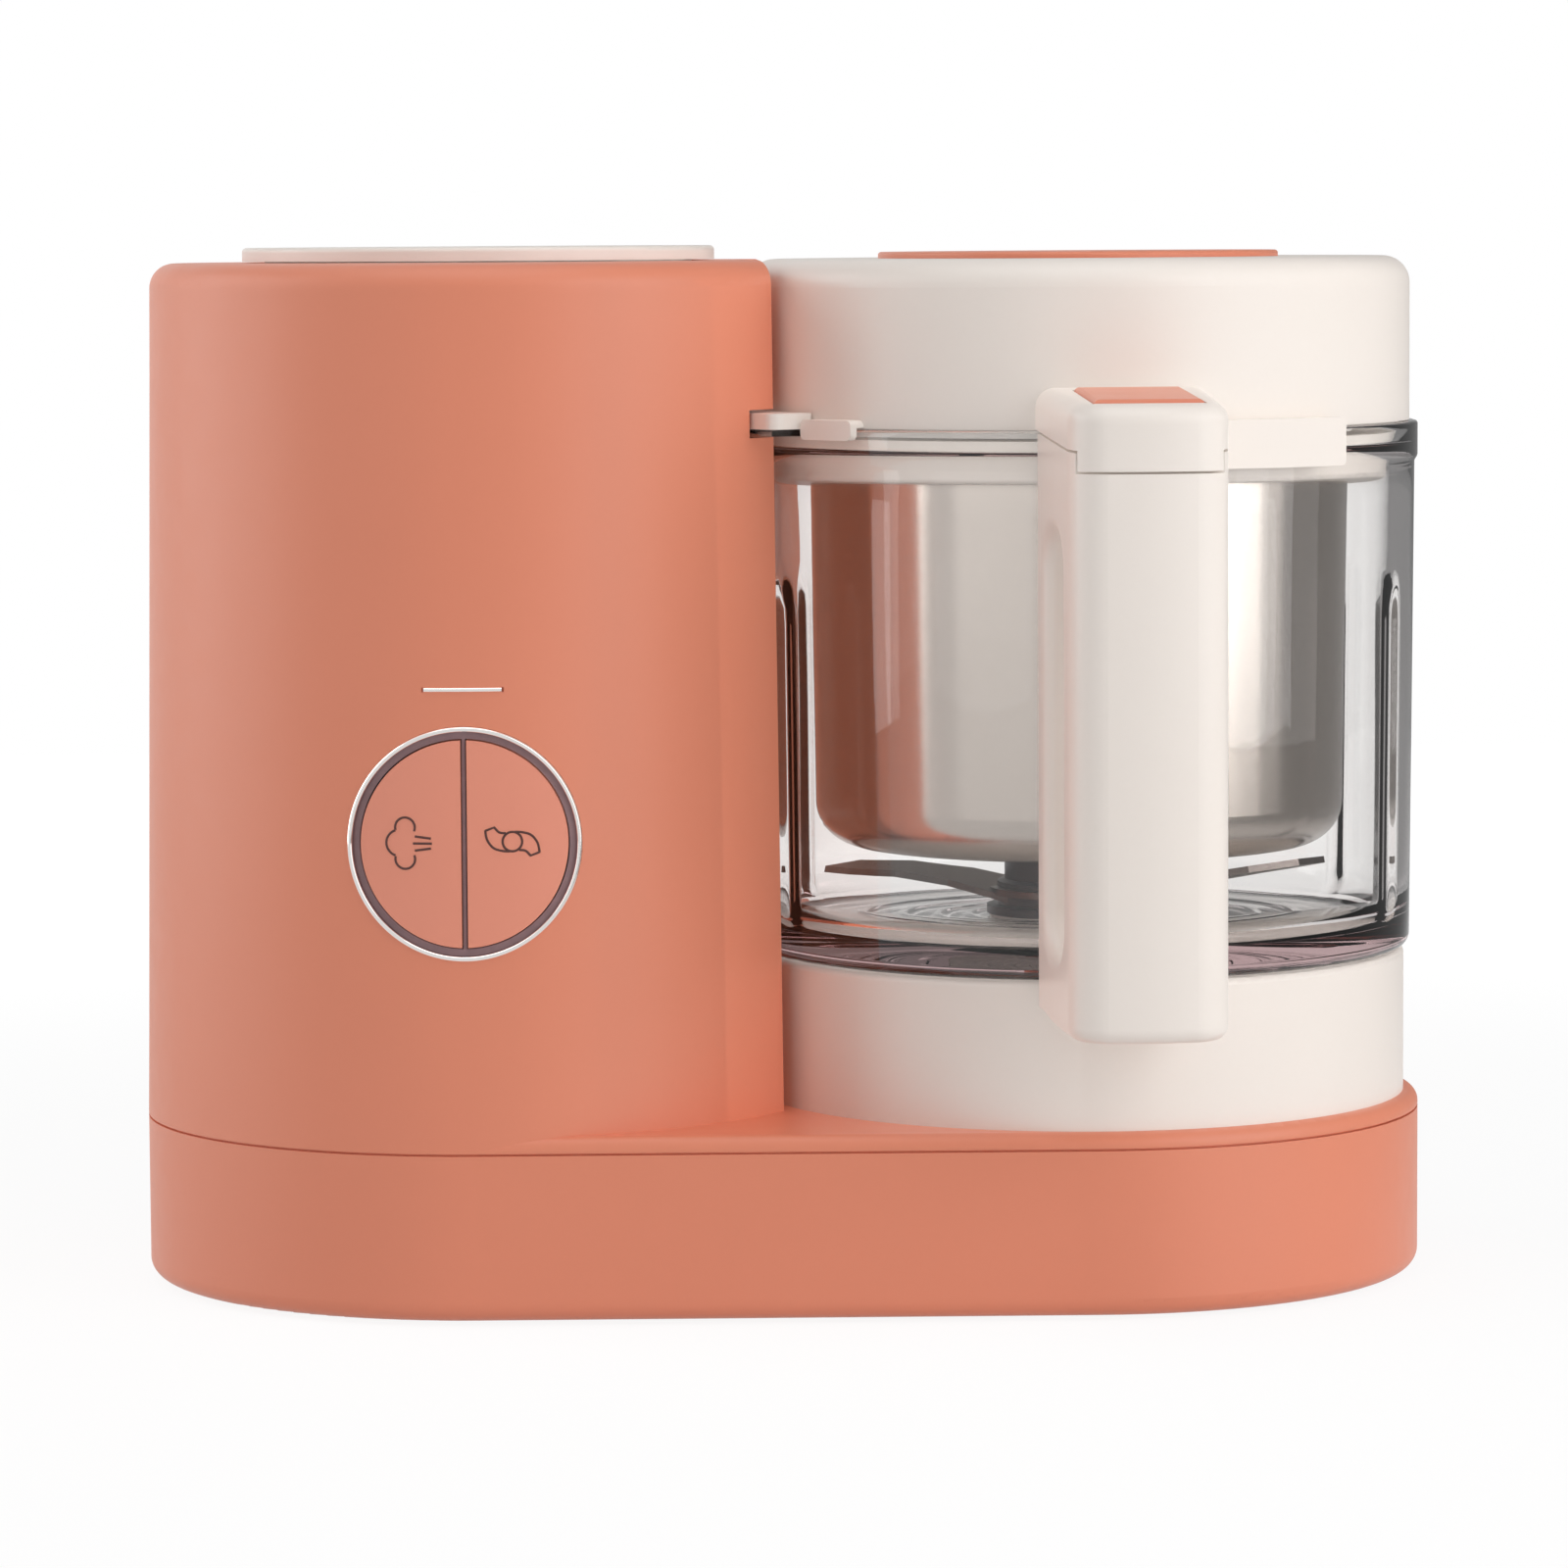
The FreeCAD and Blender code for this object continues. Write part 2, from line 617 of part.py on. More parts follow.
gland_front = size.base_radius - 0.1 - size.gland_length
gland_solid = fuse([
    rod(size.gland_radius, TO_BACK, size.gland_length, size.gland_side, gland_front, size.gland_level),
    rod(size.gland_flange, TO_BACK, 2.4, size.gland_side, gland_front + 0.6, size.gland_level),
])
gland_hole = rod(size.gland_bore, TO_BACK, 3 * SPARE,
                 size.gland_side, gland_front - SPARE, size.gland_level)
node("cord_gland", cut(gland_solid, [gland_hole]), "base")

# Upper housing: the tower and the deck are one moulding, hollowed around the bowl.

deck = rounded(stadium(size.base_radius, size.seam_level, size.deck_level), size.deck_round,
               at_level(size.deck_level))
tower_solid = rounded(tower_skin(0), size.tower_round, at_level(size.tower_top))
bowl_from_tower = 2 * size.base_span
pocket = cylinder(size.pocket_radius, size.deck_level, size.tower_top + SPARE, bowl_from_tower)
tower_body = place(cut(tower_solid, [pocket]), -size.base_span, 0, 0)
posts = [cylinder(size.post_radius, size.boss_level, size.deck_level - BITE, x, y)
         for x, y in case_points]
pocket_wall = size.pocket_radius + size.shell_wall
hollow = cut(tower_hollow(), [
    cylinder(pocket_wall, size.deck_level - SPARE, size.tower_top + SPARE, bowl_from_tower),
])
notch = sector(size.pocket_radius - SPARE, size.notch_radius, size.notch_low, size.notch_high, 184, 60)
place(notch, bowl_from_tower, 0, 0)
accent_low = size.accent_level - size.accent_height / 2
accent_box = block((size.panel_side - size.accent_half, size.panel_side + size.accent_half),
                   (-size.base_radius - SPARE, -size.carrier_front),
                   (accent_low, accent_low + size.accent_height))
tower_cuts = fuse([
    hollow,
    notch,
    cut(accent_box, [tower_skin(-size.accent_sink)]),
    cylinder(size.wire_hole, size.seam_level - SPARE, size.deck_level + SPARE),
    cylinder(size.mouth_radius, size.tower_top - 2 * SPARE, size.tower_top + SPARE),
    front_rod(size.ring_radius + 0.05),
    rod(size.nozzle_radius + 0.05, TO_RIGHT, 3 * SPARE,
        size.vessel_radius + SPARE, 0, size.steam_level),
])
place(tower_cuts, -size.base_span, 0, 0)
motor_opening = cylinder(size.motor_hole, size.seam_level - SPARE, size.deck_level + SPARE,
                         size.base_span)
housing_cuts = [tower_cuts, motor_opening]
pilot = size.screw_shank + 0.05
for x, y in case_points:
    housing_cuts.append(cylinder(pilot, size.boss_level - SPARE, size.screw_seat + 20, x, y))
pedestal_points = around(4, size.pedestal_circle, 45)
for x, y in pedestal_points:
    housing_cuts.append(cylinder(size.screw_shank + 0.2, size.seam_level - SPARE,
                                 size.deck_level + SPARE, size.base_span + x, y))
node("upper_housing", cut(fuse([deck, tower_body] + posts), housing_cuts), "base")

# Motor pedestal with its drive well, motor posts and screw bosses.

plate_low = size.pedestal_top - size.pedestal_plate
pedestal_inside = size.pedestal_radius - size.shell_wall
well_outside = size.well_radius + size.shell_wall
well_under = size.well_floor - size.shell_wall
pedestal_shell = turned("pedestal_shell", [
    (pedestal_inside, size.deck_level),
    (size.pedestal_radius, size.deck_level),
    (size.pedestal_radius, size.pedestal_top),
    (size.well_radius, size.pedestal_top),
    (size.well_radius, size.well_floor),
    (size.shaft_radius + 1.5, size.well_floor),
    (size.shaft_radius + 1.5, well_under),
    (well_outside, well_under),
    (well_outside, plate_low),
    (pedestal_inside, plate_low),
], [(size.pedestal_radius, size.pedestal_top, 1.4)])
motor_points = around(4, size.motor_circle, 45)
pedestal_parts = [pedestal_shell]
pedestal_holes = []
for x, y in motor_points:
    pedestal_parts.append(cylinder(4.4, size.motor_post_low, plate_low + BITE, x, y))
    pedestal_holes.append(cylinder(pilot, size.motor_post_low - SPARE, size.motor_post_low + 11, x, y))
for x, y in pedestal_points:
    pedestal_parts.append(cylinder(4.2, size.deck_level, plate_low + BITE, x, y))
    pedestal_holes.append(cylinder(pilot, size.deck_level - SPARE, size.seam_level + 18, x, y))
node("motor_pedestal", cut(fuse(pedestal_parts), pedestal_holes), "bowl")
screws += [screw(size.base_span + x, y, size.seam_level) for x, y in pedestal_points]

# Controls on the tower front.

light_outer = size.ring_radius - size.ring_width
light_inner = light_outer - size.light_width
button_radius = light_inner - size.button_gap


def front_piece(outer, inner, proud):
    """A ring of the control panel that follows the tower face."""
    skin = cut(tower_skin(proud), [tower_skin(-size.panel_depth)])
    return cut(common([front_rod(outer), skin]), [front_rod(inner)])


def panel_block(x_range):
    """An upright slab through the control panel, its sides counted from the panel's middle."""
    far = size.ring_radius + SPARE
    return block((size.panel_side + x_range[0], size.panel_side + x_range[1]),
                 (-size.base_radius - SPARE, -size.carrier_front),
                 (size.ring_level - far, size.ring_level + far))


def half_button(side):
    """A half-moon button with a stem to its switch."""
    near = size.button_split / 2
    far = size.ring_radius + SPARE
    keep = panel_block((near, far) if side > 0 else (-far, -near))
    skin = cut(tower_skin(0.1), [tower_skin(-size.panel_depth)])
    stem_x = size.panel_side + side * size.stem_side
    stem = rod(size.stem_radius, TO_BACK, 13, stem_x, -72.3, size.ring_level)
    return fuse([common([front_rod(button_radius), skin, keep]), stem])


node("control_ring", front_piece(size.ring_radius, light_outer + 0.02, size.ring_proud), "tower")
light_skin = cut(tower_skin(-size.light_sink), [tower_skin(-size.panel_depth)])
divider = common([front_rod(light_inner + BITE), light_skin,
                  panel_block((-size.divider_half, size.divider_half))])
light_annulus = front_piece(light_outer, light_inner, -size.light_sink)
node("light_ring", fuse([light_annulus, divider]), "tower")
node("steam_button", half_button(-1), "tower")
node("blend_button", half_button(1), "tower")

carrier_back = size.carrier_front - size.carrier_plate
carrier_block = block((size.panel_side - 45, size.panel_side + 45), (-size.carrier_front, -carrier_back),
                      (size.ring_level - 30, size.ring_level + 30))
carrier_parts = [common([carrier_block, tower_hollow()])]
for x in (-24, 24):
    for rise in (-22, 22):
        carrier_parts.append(rod(2.5, TO_BACK, carrier_back + BITE - size.board_front,
                                 size.panel_side + x, -carrier_back - BITE, size.ring_level + rise))
carrier_holes = [rod(size.stem_radius + 0.3, TO_BACK, 2 * SPARE,
                     size.panel_side + side * size.stem_side,
                     -size.carrier_front - SPARE, size.ring_level) for side in (-1, 1)]
node("button_carrier", cut(fuse(carrier_parts), carrier_holes), "tower")
board_back = size.board_front - size.board_sheet
board_parts = [block((size.panel_side - 28, size.panel_side + 28), (-size.board_front, -board_back),
                     (size.ring_level - 26, size.ring_level + 26))]
for (left, right), (low, high), chip in (((-10, 4), (-18, -8), 2.4), ((10, 20), (6, 18), 3.0)):
    board_parts.append(block((left, right), (-board_back - 0.1, -board_back + chip),
                             (size.ring_level + low, size.ring_level + high)))
node("control_board", fuse(board_parts), "tower")
switches = []
switch_front = size.board_front + size.switch_height
for side in (-1, 1):
    x = size.panel_side + side * size.stem_side
    case = block((x - 3, x + 3), (-switch_front, -size.board_front),
                 (size.ring_level - 3, size.ring_level + 3))
    switches.append(fuse([case, rod(1.5, TO_BACK, 1, x, -switch_front - 0.5, size.ring_level)]))
node("push_switches", fuse(switches), "tower")
accent_skin = cut(tower_skin(size.accent_proud), [tower_skin(-size.accent_sink)])
node("accent_bar", common([accent_box, accent_skin]), "tower")

# Boiler and steam path inside the tower.

mouth = size.mouth_radius - 0.5
flange_top = size.tower_top - size.shell_wall - 1
vessel_inside = size.vessel_radius - size.vessel_wall
vessel_shell = turned("vessel_shell", [
    (0, size.vessel_floor),
    (size.vessel_radius, size.vessel_floor),
    (size.vessel_radius, flange_top - 10),
    (mouth, flange_top - 5.5),
    (mouth, flange_top - 2),
    (mouth + 3, flange_top - 2),
    (mouth + 3, flange_top),
    (mouth - size.vessel_wall, flange_top),
    (mouth - size.vessel_wall, flange_top - 5),
    (vessel_inside, flange_top - 9.5),
    (vessel_inside, size.vessel_floor + size.vessel_wall),
    (0, size.vessel_floor + size.vessel_wall),
], [(size.vessel_radius, size.vessel_floor, 3.0)])
vessel_hole = rod(size.duct_radius, TO_RIGHT, 2 * SPARE, vessel_inside - SPARE, 0, size.steam_level)
node("boiler_vessel", cut(vessel_shell, [vessel_hole]), "tower")
node("vessel_gasket", tube(mouth, mouth + 3, flange_top, flange_top + 1), "tower")
plate_under = size.vessel_floor - size.plate_height
heat_disc = turned("heat_disc", [
    (0, plate_under),
    (size.plate_radius, plate_under),
    (size.plate_radius, size.vessel_floor),
    (0, size.vessel_floor),
], [(size.plate_radius, plate_under, 1.5)])
node("heat_plate", heat_disc, "tower")
element_ring = doc.addObject("Part::Torus", "element_ring")
element_ring.setExpression("Radius1", text_of(size.element_radius))
element_ring.setExpression("Radius2", text_of(size.element_tube))
place(element_ring, 0, 0, plate_under - size.element_tube)
element_parts = [element_ring]
for x in (-6.8, 6.8):
    element_parts.append(cylinder(2, plate_under - 16, plate_under - 4, x, size.element_radius - 0.8))
node("heating_element", fuse(element_parts), "tower")
boiler_posts = [cylinder(2.5, size.deck_level, plate_under, x, y)
                for x, y in around(3, size.boiler_post_circle, 60)]
node("boiler_posts", fuse(boiler_posts), "tower")
node("thermostat", fuse([cylinder(8, plate_under - 7, plate_under),
                         cylinder(5, plate_under - 10, plate_under - 7)]), "tower")
fuse_radius = 2.8
node("thermal_fuse", fuse([rod(fuse_radius, TO_RIGHT, 16, -8, 17, plate_under - fuse_radius),
                           rod(0.6, TO_RIGHT, 26, -13, 17, plate_under - fuse_radius)]), "tower")
duct_start = size.vessel_radius - 1.4
duct = cut(rod(size.duct_radius, TO_RIGHT, 9.6, duct_start, 0, size.steam_level),
           [rod(size.duct_bore, TO_RIGHT, 4 * SPARE, duct_start - SPARE, 0, size.steam_level)])
node("steam_duct", duct, "tower")
nozzle_start = size.vessel_radius + 3
nozzle_end = bowl_from_tower - size.pocket_radius + 0.6
nozzle_solid = rod(size.nozzle_radius, TO_RIGHT, nozzle_end - nozzle_start,
                   nozzle_start, 0, size.steam_level)
nozzle_hole = rod(size.duct_radius, TO_RIGHT, 4 * SPARE, nozzle_start - SPARE, 0, size.steam_level)
node("steam_nozzle", cut(nozzle_solid, [nozzle_hole]), "tower")
switch_low = size.notch_low - 3
switch_arm = block((43.3, 51.3), (-size.base_radius, -25.8), (switch_low, switch_low + 14))
node("lock_switch", common([switch_arm, tower_hollow()]), "tower")

# Power board in the tray under the tower, on four legs and with its tall parts.

board_low = floor_top + 5
board_top = board_low + size.board_sheet
power_parts = [block((-34, 30), (-24, 24), (board_low, board_top))]
for x in (-28, 24):
    for y in (-18, 18):
        power_parts.append(cylinder(3, floor_top, board_low + BITE, x, y))
tall_parts = (((-30, -8), (-14, 6), 18), ((-2, 16), (-16, -6), 15), ((18, 28), (-4, 14), 10))
for x_range, y_range, tall in tall_parts:
    power_parts.append(block(x_range, y_range, (board_top - BITE, board_top + tall)))
power_parts.append(cylinder(6.5, board_top - BITE, board_top + 20, 6, 9))
node("power_board", fuse(power_parts), "tower")

# Motor: fixed pieces.

shaft_hole = size.shaft_radius + size.running_gap
upper_top = size.upper_plate + size.bracket_sheet
lower_top = size.lower_plate + size.bracket_sheet
upper_cup = upper_top - size.bearing_height
lower_cup = size.lower_plate + size.bearing_height
tie_sides = (-size.tie_reach, size.tie_reach)
node("motor_stator", tube(size.rotor_radius + size.air_gap, size.stator_radius,
                          size.stator_low, size.stator_high), "bowl")
coils = []
for low in (size.stator_low - size.coil_height, size.stator_high):
    for start in (40, 220):
        coils.append(sector(size.coil_inner, size.coil_outer, low, low + size.coil_height, start, 100))
node("field_coils", fuse(coils), "bowl")
upper_parts = [cylinder(size.bracket_radius, size.upper_plate, upper_top),
               cylinder(size.cup_radius, upper_cup, upper_top)]
for i in range(4):
    upper_parts.append(block((30, size.motor_circle + 6), (-size.arm_half, size.arm_half),
                             (size.upper_plate, upper_top), 45 + 90 * i))
upper_holes = [cylinder(size.bearing_radius, upper_cup - SPARE, upper_top + SPARE)]
upper_holes += [cylinder(size.screw_shank + 0.1, size.upper_plate - SPARE, upper_top + SPARE, x, y)
                for x, y in motor_points]
upper_holes += [cylinder(size.tie_radius + 0.1, size.upper_plate - SPARE, upper_top + SPARE, x)
                for x in tie_sides]
node("upper_bracket", cut(fuse(upper_parts), upper_holes), "bowl")
lower_parts = [cylinder(24, size.lower_plate, lower_top),
               cylinder(size.cup_radius, size.lower_plate, lower_cup - 0.2),
               block((-42, 42), (-size.arm_half, size.arm_half), (size.lower_plate, lower_top))]
lower_holes = [cylinder(size.bearing_radius, size.lower_plate - SPARE, lower_cup + SPARE)]
lower_holes += [cylinder(size.tie_radius + 0.1, size.lower_plate - SPARE, lower_top + SPARE, x)
                for x in tie_sides]
node("lower_bracket", cut(fuse(lower_parts), lower_holes), "bowl")
bearings = [tube(shaft_hole, size.bearing_radius, low, low + size.bearing_height)
            for low in (size.lower_plate, upper_cup)]
node("motor_bearings", fuse(bearings), "bowl")
brush_start = size.commutator_radius + 0.4
brushes = []
for turn in (0, 180):
    brushes.append(fuse([
        block((brush_start, 20), (-2.5, 2.5), (size.commutator_low, size.commutator_high - 0.4), turn),
        block((13, 21), (-4, 4), (lower_top, size.commutator_high + 0.1), turn),
    ]))
node("brush_holders", fuse(brushes), "bowl")
bolt_head = 2.2
bolts = []
for x in tie_sides:
    bolts.append(fuse([
        cylinder(size.tie_radius, size.lower_plate - bolt_head, upper_top + bolt_head, x),
        cylinder(2 * size.tie_radius, upper_top, upper_top + bolt_head, x),
        cylinder(2 * size.tie_radius, size.lower_plate - bolt_head, size.lower_plate, x),
    ]))
node("motor_tie_bolts", fuse(bolts), "bowl")
dampers = [tube(size.screw_shank + 0.2, size.damper_radius, upper_top, size.motor_post_low, x, y)
           for x, y in motor_points]
node("motor_dampers", fuse(dampers), "bowl")
screws += [screw(size.base_span + x, y, size.upper_plate) for x, y in motor_points]
node("housing_screws", fuse(screws), "base")

# Motor: turning pieces, with the drive coupling in the well.


def shaft(low, high):
    """A round shaft with chamfered ends."""
    bevel = size.shaft_radius - 0.5
    return turned("shaft", [
        (0, low),
        (bevel, low),
        (size.shaft_radius, low + 0.5),
        (size.shaft_radius, high - 0.5),
        (bevel, high),
        (0, high),
    ])


def dogs(low, turn):
    """Four coupling dogs, the first one centred at turn."""
    sweep = 36
    return [sector(size.dog_inner, size.dog_outer, low, low + size.dog_height + BITE,
                   90 * i + turn - sweep / 2, sweep) for i in range(4)]


node("motor_shaft", shaft(size.shaft_low, size.shaft_high), "bowl")
node("rotor_core", tube(size.shaft_radius, size.rotor_radius, size.stator_low, size.stator_high), "bowl")
node("commutator", tube(size.shaft_radius, size.commutator_radius,
                        size.commutator_low, size.commutator_high), "bowl")
fan_disc = size.fan_low + 1.2
fan_parts = [cylinder(size.fan_radius, size.fan_low, fan_disc), cylinder(9, size.fan_low, size.fan_high)]
fan_parts += [block((8, size.fan_radius), (-0.7, 0.7), (fan_disc - BITE, size.fan_high), 40 * i)
              for i in range(9)]
fan_bore = cylinder(size.shaft_radius, size.fan_low - SPARE, size.fan_high + SPARE)
node("cooling_fan", cut(fuse(fan_parts), [fan_bore]), "bowl")
drive_low = size.well_floor + 1
drive_top = drive_low + 5
drive_parts = [cylinder(size.coupling_radius, drive_low, drive_top)] + dogs(drive_top - BITE, 0)
drive_bore = cylinder(size.shaft_radius, drive_low - SPARE, size.shaft_high)
node("drive_coupling", cut(fuse(drive_parts), [drive_bore]), "bowl")

# Blade: it turns with the drive coupling and stands in a bush on the bowl floor.

driven_low = drive_top + size.dog_height + size.mesh_gap
driven_top = driven_low + 2.9
driven_parts = [cylinder(size.coupling_radius, driven_low, driven_top)]
driven_parts += dogs(driven_low - size.dog_height, 45)
driven_bore = cylinder(size.shaft_radius, driven_low - SPARE, driven_top + SPARE)
node("driven_coupling", cut(fuse(driven_parts), [driven_bore]), "bowl")
bush_top = size.bowl_floor + 3
hub_low = bush_top + size.mesh_gap
hub_high = size.basket_floor - 1.2
shaft_end = hub_high - 2
node("blade_shaft", shaft(driven_low, shaft_end), "bowl")
blade_low = hub_low + 2.4
blade_high = blade_low + size.blade_sheet
hub_shoulder = blade_high + 1.2
hub = turned("hub", [
    (0, shaft_end),
    (size.shaft_radius, shaft_end),
    (size.shaft_radius, hub_low),
    (size.hub_radius, hub_low),
    (size.hub_radius, hub_shoulder),
    (size.hub_crown, hub_shoulder + 0.6),
    (size.hub_crown, hub_high),
    (0, hub_high),
], [(size.hub_crown, hub_high, 2.0)])
node("blade_hub", hub, "bowl")
wing_outline = [(0.21, -0.157), (0.42, -0.2), (0.66, -0.166), (0.87, -0.052), (0.995, 0.105),
                (0.905, 0.09), (0.73, 0.021), (0.52, 0.026), (0.35, 0.105), (0.21, 0.19)]
wing_drop = size.hub_radius * math.tan(math.radians(size.blade_rise.value))
blade_parts = [cylinder(size.hub_radius + 2, blade_low, blade_high)]
for side in (1, -1):
    wing = new_body("wing")
    points = [(side * x * size.blade_reach, side * y * size.blade_reach) for x, y in wing_outline]
    add_pad(wing, "XY_Plane", points, 0, size.blade_sheet)
    rise = FreeCAD.Rotation(FreeCAD.Vector(0, 1, 0), -side * size.blade_rise.value)
    pitch = FreeCAD.Rotation(FreeCAD.Vector(1, 0, 0), -side * size.blade_pitch.value)
    blade_parts.append(place(wing, 0, 0, blade_low - wing_drop, rise * pitch))
blade_hole = cylinder(size.hub_radius + 0.05, blade_low - SPARE, blade_high + SPARE)
node("blade_wings", cut(fuse(blade_parts), [blade_hole]), "bowl")

# Bowl: glass with ribs and a lug, lock lug, bush and nut.

rim_inside = size.bowl_rim_radius - size.ledge_width
wall_top = size.bowl_rim_radius - size.bowl_bead
bead_low = size.ledge_level - 4
glass_hole = size.bush_radius + 0.1
glass = turned("glass", [
    (glass_hole, size.bowl_recess),
    (30, size.bowl_recess),
    (30, size.bowl_foot),
    (size.bowl_foot_radius, size.bowl_foot),
    (wall_top, bead_low),
    (size.bowl_rim_radius, bead_low + 1),
    (size.bowl_rim_radius, size.bowl_rim),
    (rim_inside, size.bowl_rim),
    (rim_inside, size.ledge_level),
    (wall_top - size.bowl_wall, size.ledge_level),
    (size.bowl_foot_radius - size.bowl_wall, size.bowl_floor),
    (glass_hole, size.bowl_floor),
], [
    (size.bowl_foot_radius, size.bowl_foot, 3.0),
    (size.bowl_foot_radius - size.bowl_wall, size.bowl_floor, 7.0),
    (size.bowl_rim_radius, size.bowl_rim, 0.9),
])
glass_parts = [glass]
rib_circle = size.bowl_foot_radius - 6.2
rib_end = size.rib_top - size.rib_radius
for x, y in around(2, rib_circle, 23) + around(2, rib_circle, 157):
    glass_parts.append(cylinder(size.rib_radius, size.bowl_floor - 2, rib_end, x, y))
    glass_parts.append(ball(size.rib_radius, x, y, rib_end))
glass_parts.append(sector(rim_inside + BITE, size.lug_radius - 1,
                          size.bowl_rim - size.lug_glass, size.bowl_rim, 188, 27))
node("glass_bowl", fuse(glass_parts), "bowl")


def lug_end(edge):
    box = edge.BoundBox
    upright = abs(box.ZMax - box.ZMin - size.lug_height.value) < 0.01
    return upright and math.hypot(box.XMin, box.YMin) > size.lug_radius.value - 0.01


lug_top = size.bowl_rim + size.lug_height
lug_sector = sector(size.lid_radius + 0.7, size.lug_radius, size.bowl_rim, lug_top, 187, 28.6)
node("lock_lug", rounded(lug_sector, size.lug_round, lug_end), "bowl")
seal_top = size.bowl_floor + 0.8
nut_low = driven_top + 0.4
bush_parts = [cylinder(size.bush_flange, seal_top, bush_top),
              cylinder(size.bush_radius, nut_low, seal_top + BITE)]
bush_bore = cylinder(shaft_hole, nut_low - SPARE, bush_top + SPARE)
node("blade_bush", cut(fuse(bush_parts), [bush_bore]), "bowl")
node("bush_seal", tube(glass_hole, size.bush_flange - 0.7, size.bowl_floor, seal_top), "bowl")
nut_body = doc.addObject("Part::Prism", "nut_body")
nut_body.Polygon = 6
nut_body.setExpression("Circumradius", text_of(size.bush_flange - 1))
nut_body.setExpression("Height", text_of(size.bowl_recess - nut_low))
place(nut_body, 0, 0, nut_low)
nut_hole = cylinder(size.bush_radius + 0.05, nut_low - SPARE, size.bowl_recess + SPARE)
node("bush_nut", cut(nut_body, [nut_hole]), "bowl")

# Handle: spine, bridges and grip are one moulding, stepped at the top for the latch head.

handle_back = size.spine_face - 8
lip_back = size.handle_reach - size.lip_depth
grip_back = size.handle_reach - size.grip_depth
front_past = size.handle_reach + SPARE
grip_corner = size.handle_reach - size.grip_crown
grip_front = (size.grip_half * size.grip_half + size.grip_crown * size.grip_crown) / (2 * size.grip_crown)
handle_plan = [
    (-size.grip_half, -grip_corner),
    (-size.spine_half, -handle_back),
    (size.spine_half, -handle_back),
    (size.grip_half, -grip_corner),
]


def front_corner(edge):
    box = edge.BoundBox
    upright = box.ZMax - box.ZMin > SPARE and box.YMax - box.YMin < 0.01
    return upright and box.YMax < -grip_corner.value + 0.01


def gap_corner(edge):
    box = edge.BoundBox
    across = box.XMax - box.XMin > 20 and box.ZMax - box.ZMin < 0.01 and box.YMax - box.YMin < 0.01
    inside = -grip_back.value - 0.1 < box.YMin and box.YMax < -size.spine_front.value + 0.1
    return across and inside and size.gap_low.value - 0.1 < box.ZMin < size.gap_high.value + 0.1


def grip_rim(edge):
    box = edge.BoundBox
    upright = box.ZMax - box.ZMin > 60 and box.XMax - box.XMin < 1
    return upright and abs((box.YMin + box.YMax) / 2 + grip_back.value) < 0.5


def grip_foot(edge):
    return at_level(size.handle_low)(edge) and edge.BoundBox.YMin < -grip_back.value - 0.5


handle = new_body("handle_moulding")
feature = add_pad(handle, "XY_Plane", handle_plan, size.handle_low, size.split_back + BITE, grip_front)
feature = add_fillet(handle, feature, size.grip_round, front_corner)
feature = add_side_cut(handle, [
    (-size.spine_front, size.gap_low),
    (-grip_back, size.gap_low),
    (-grip_back, size.gap_high),
    (-size.spine_front, size.gap_high),
])
feature = add_fillet(handle, feature, size.grip_round, gap_corner)
feature = add_side_cut(handle, [
    (0, size.split_back),
    (-size.spine_face, size.split_back),
    (-lip_back, size.split_front),
    (-lip_back, size.split_lip),
    (-front_past, size.split_lip),
    (-front_past, size.head_top),
    (0, size.head_top),
])
feature = add_side_cut(handle, [
    (0, size.handle_low - SPARE),
    (0, size.spine_low),
    (-size.spine_front, size.spine_low),
    (-grip_back, size.handle_low),
    (-grip_back, size.handle_low - SPARE),
])
feature = add_groove(handle, [
    (0, size.handle_low - SPARE),
    (size.spine_face, size.handle_low - SPARE),
    (size.spine_face, size.head_top),
    (0, size.head_top),
])
feature = add_fillet(handle, feature, size.grip_edge, grip_rim)
feature = add_fillet(handle, feature, size.grip_end, grip_foot)
stem_socket = cylinder(size.stem_radius + 1, size.release_low - 3.1, size.head_top, 0, -size.release_stem)
node("handle", cut(handle, [stem_socket]), "bowl", size.handle_angle)

pad_low = size.gap_low + 13
pad_high = size.gap_high + 10
pad_sector = sector(size.bowl_foot_radius - 2, size.spine_face, pad_low, pad_high, 259, 22)
taper = (wall_top - size.bowl_foot_radius) / (bead_low - size.bowl_foot)
glass_face = cone(size.bowl_foot_radius + taper * (pad_low - size.bowl_foot),
                  size.bowl_foot_radius + taper * (pad_high - size.bowl_foot), pad_low, pad_high)
node("bond_pad", cut(pad_sector, [glass_face]), "bowl", size.handle_angle)

# Lid: shell, inlay, seal, steam guide, latch head, release button and side lugs.

lid_inside = size.lid_radius - size.lid_wall
inlay_seat = size.lid_top - size.inlay_sink
lid_ceiling = inlay_seat - 2.5
lid_dome = turned("lid_dome", [
    (lid_inside, size.lid_low),
    (size.lid_radius, size.lid_low),
    (size.lid_radius, size.lid_top),
    (size.inlay_radius + 0.3, size.lid_top),
    (size.inlay_radius + 0.3, inlay_seat),
    (0, inlay_seat),
    (0, lid_ceiling),
    (lid_inside - 5, lid_ceiling),
    (lid_inside, lid_ceiling - 5),
], [(size.lid_radius, size.lid_top, size.lid_round)])
steam_hole = rod(size.guide_bore, TO_RIGHT, 4 * SPARE, -size.lid_radius - SPARE, 0, size.steam_level)
node("lid_shell", cut(lid_dome, [steam_hole]), "bowl")
inlay = turned("inlay", [
    (0, inlay_seat),
    (size.inlay_radius, inlay_seat),
    (size.inlay_radius, size.inlay_top),
    (0, size.inlay_top),
], [(size.inlay_radius, size.inlay_top, 0.7)])
node("lid_inlay", inlay, "bowl")
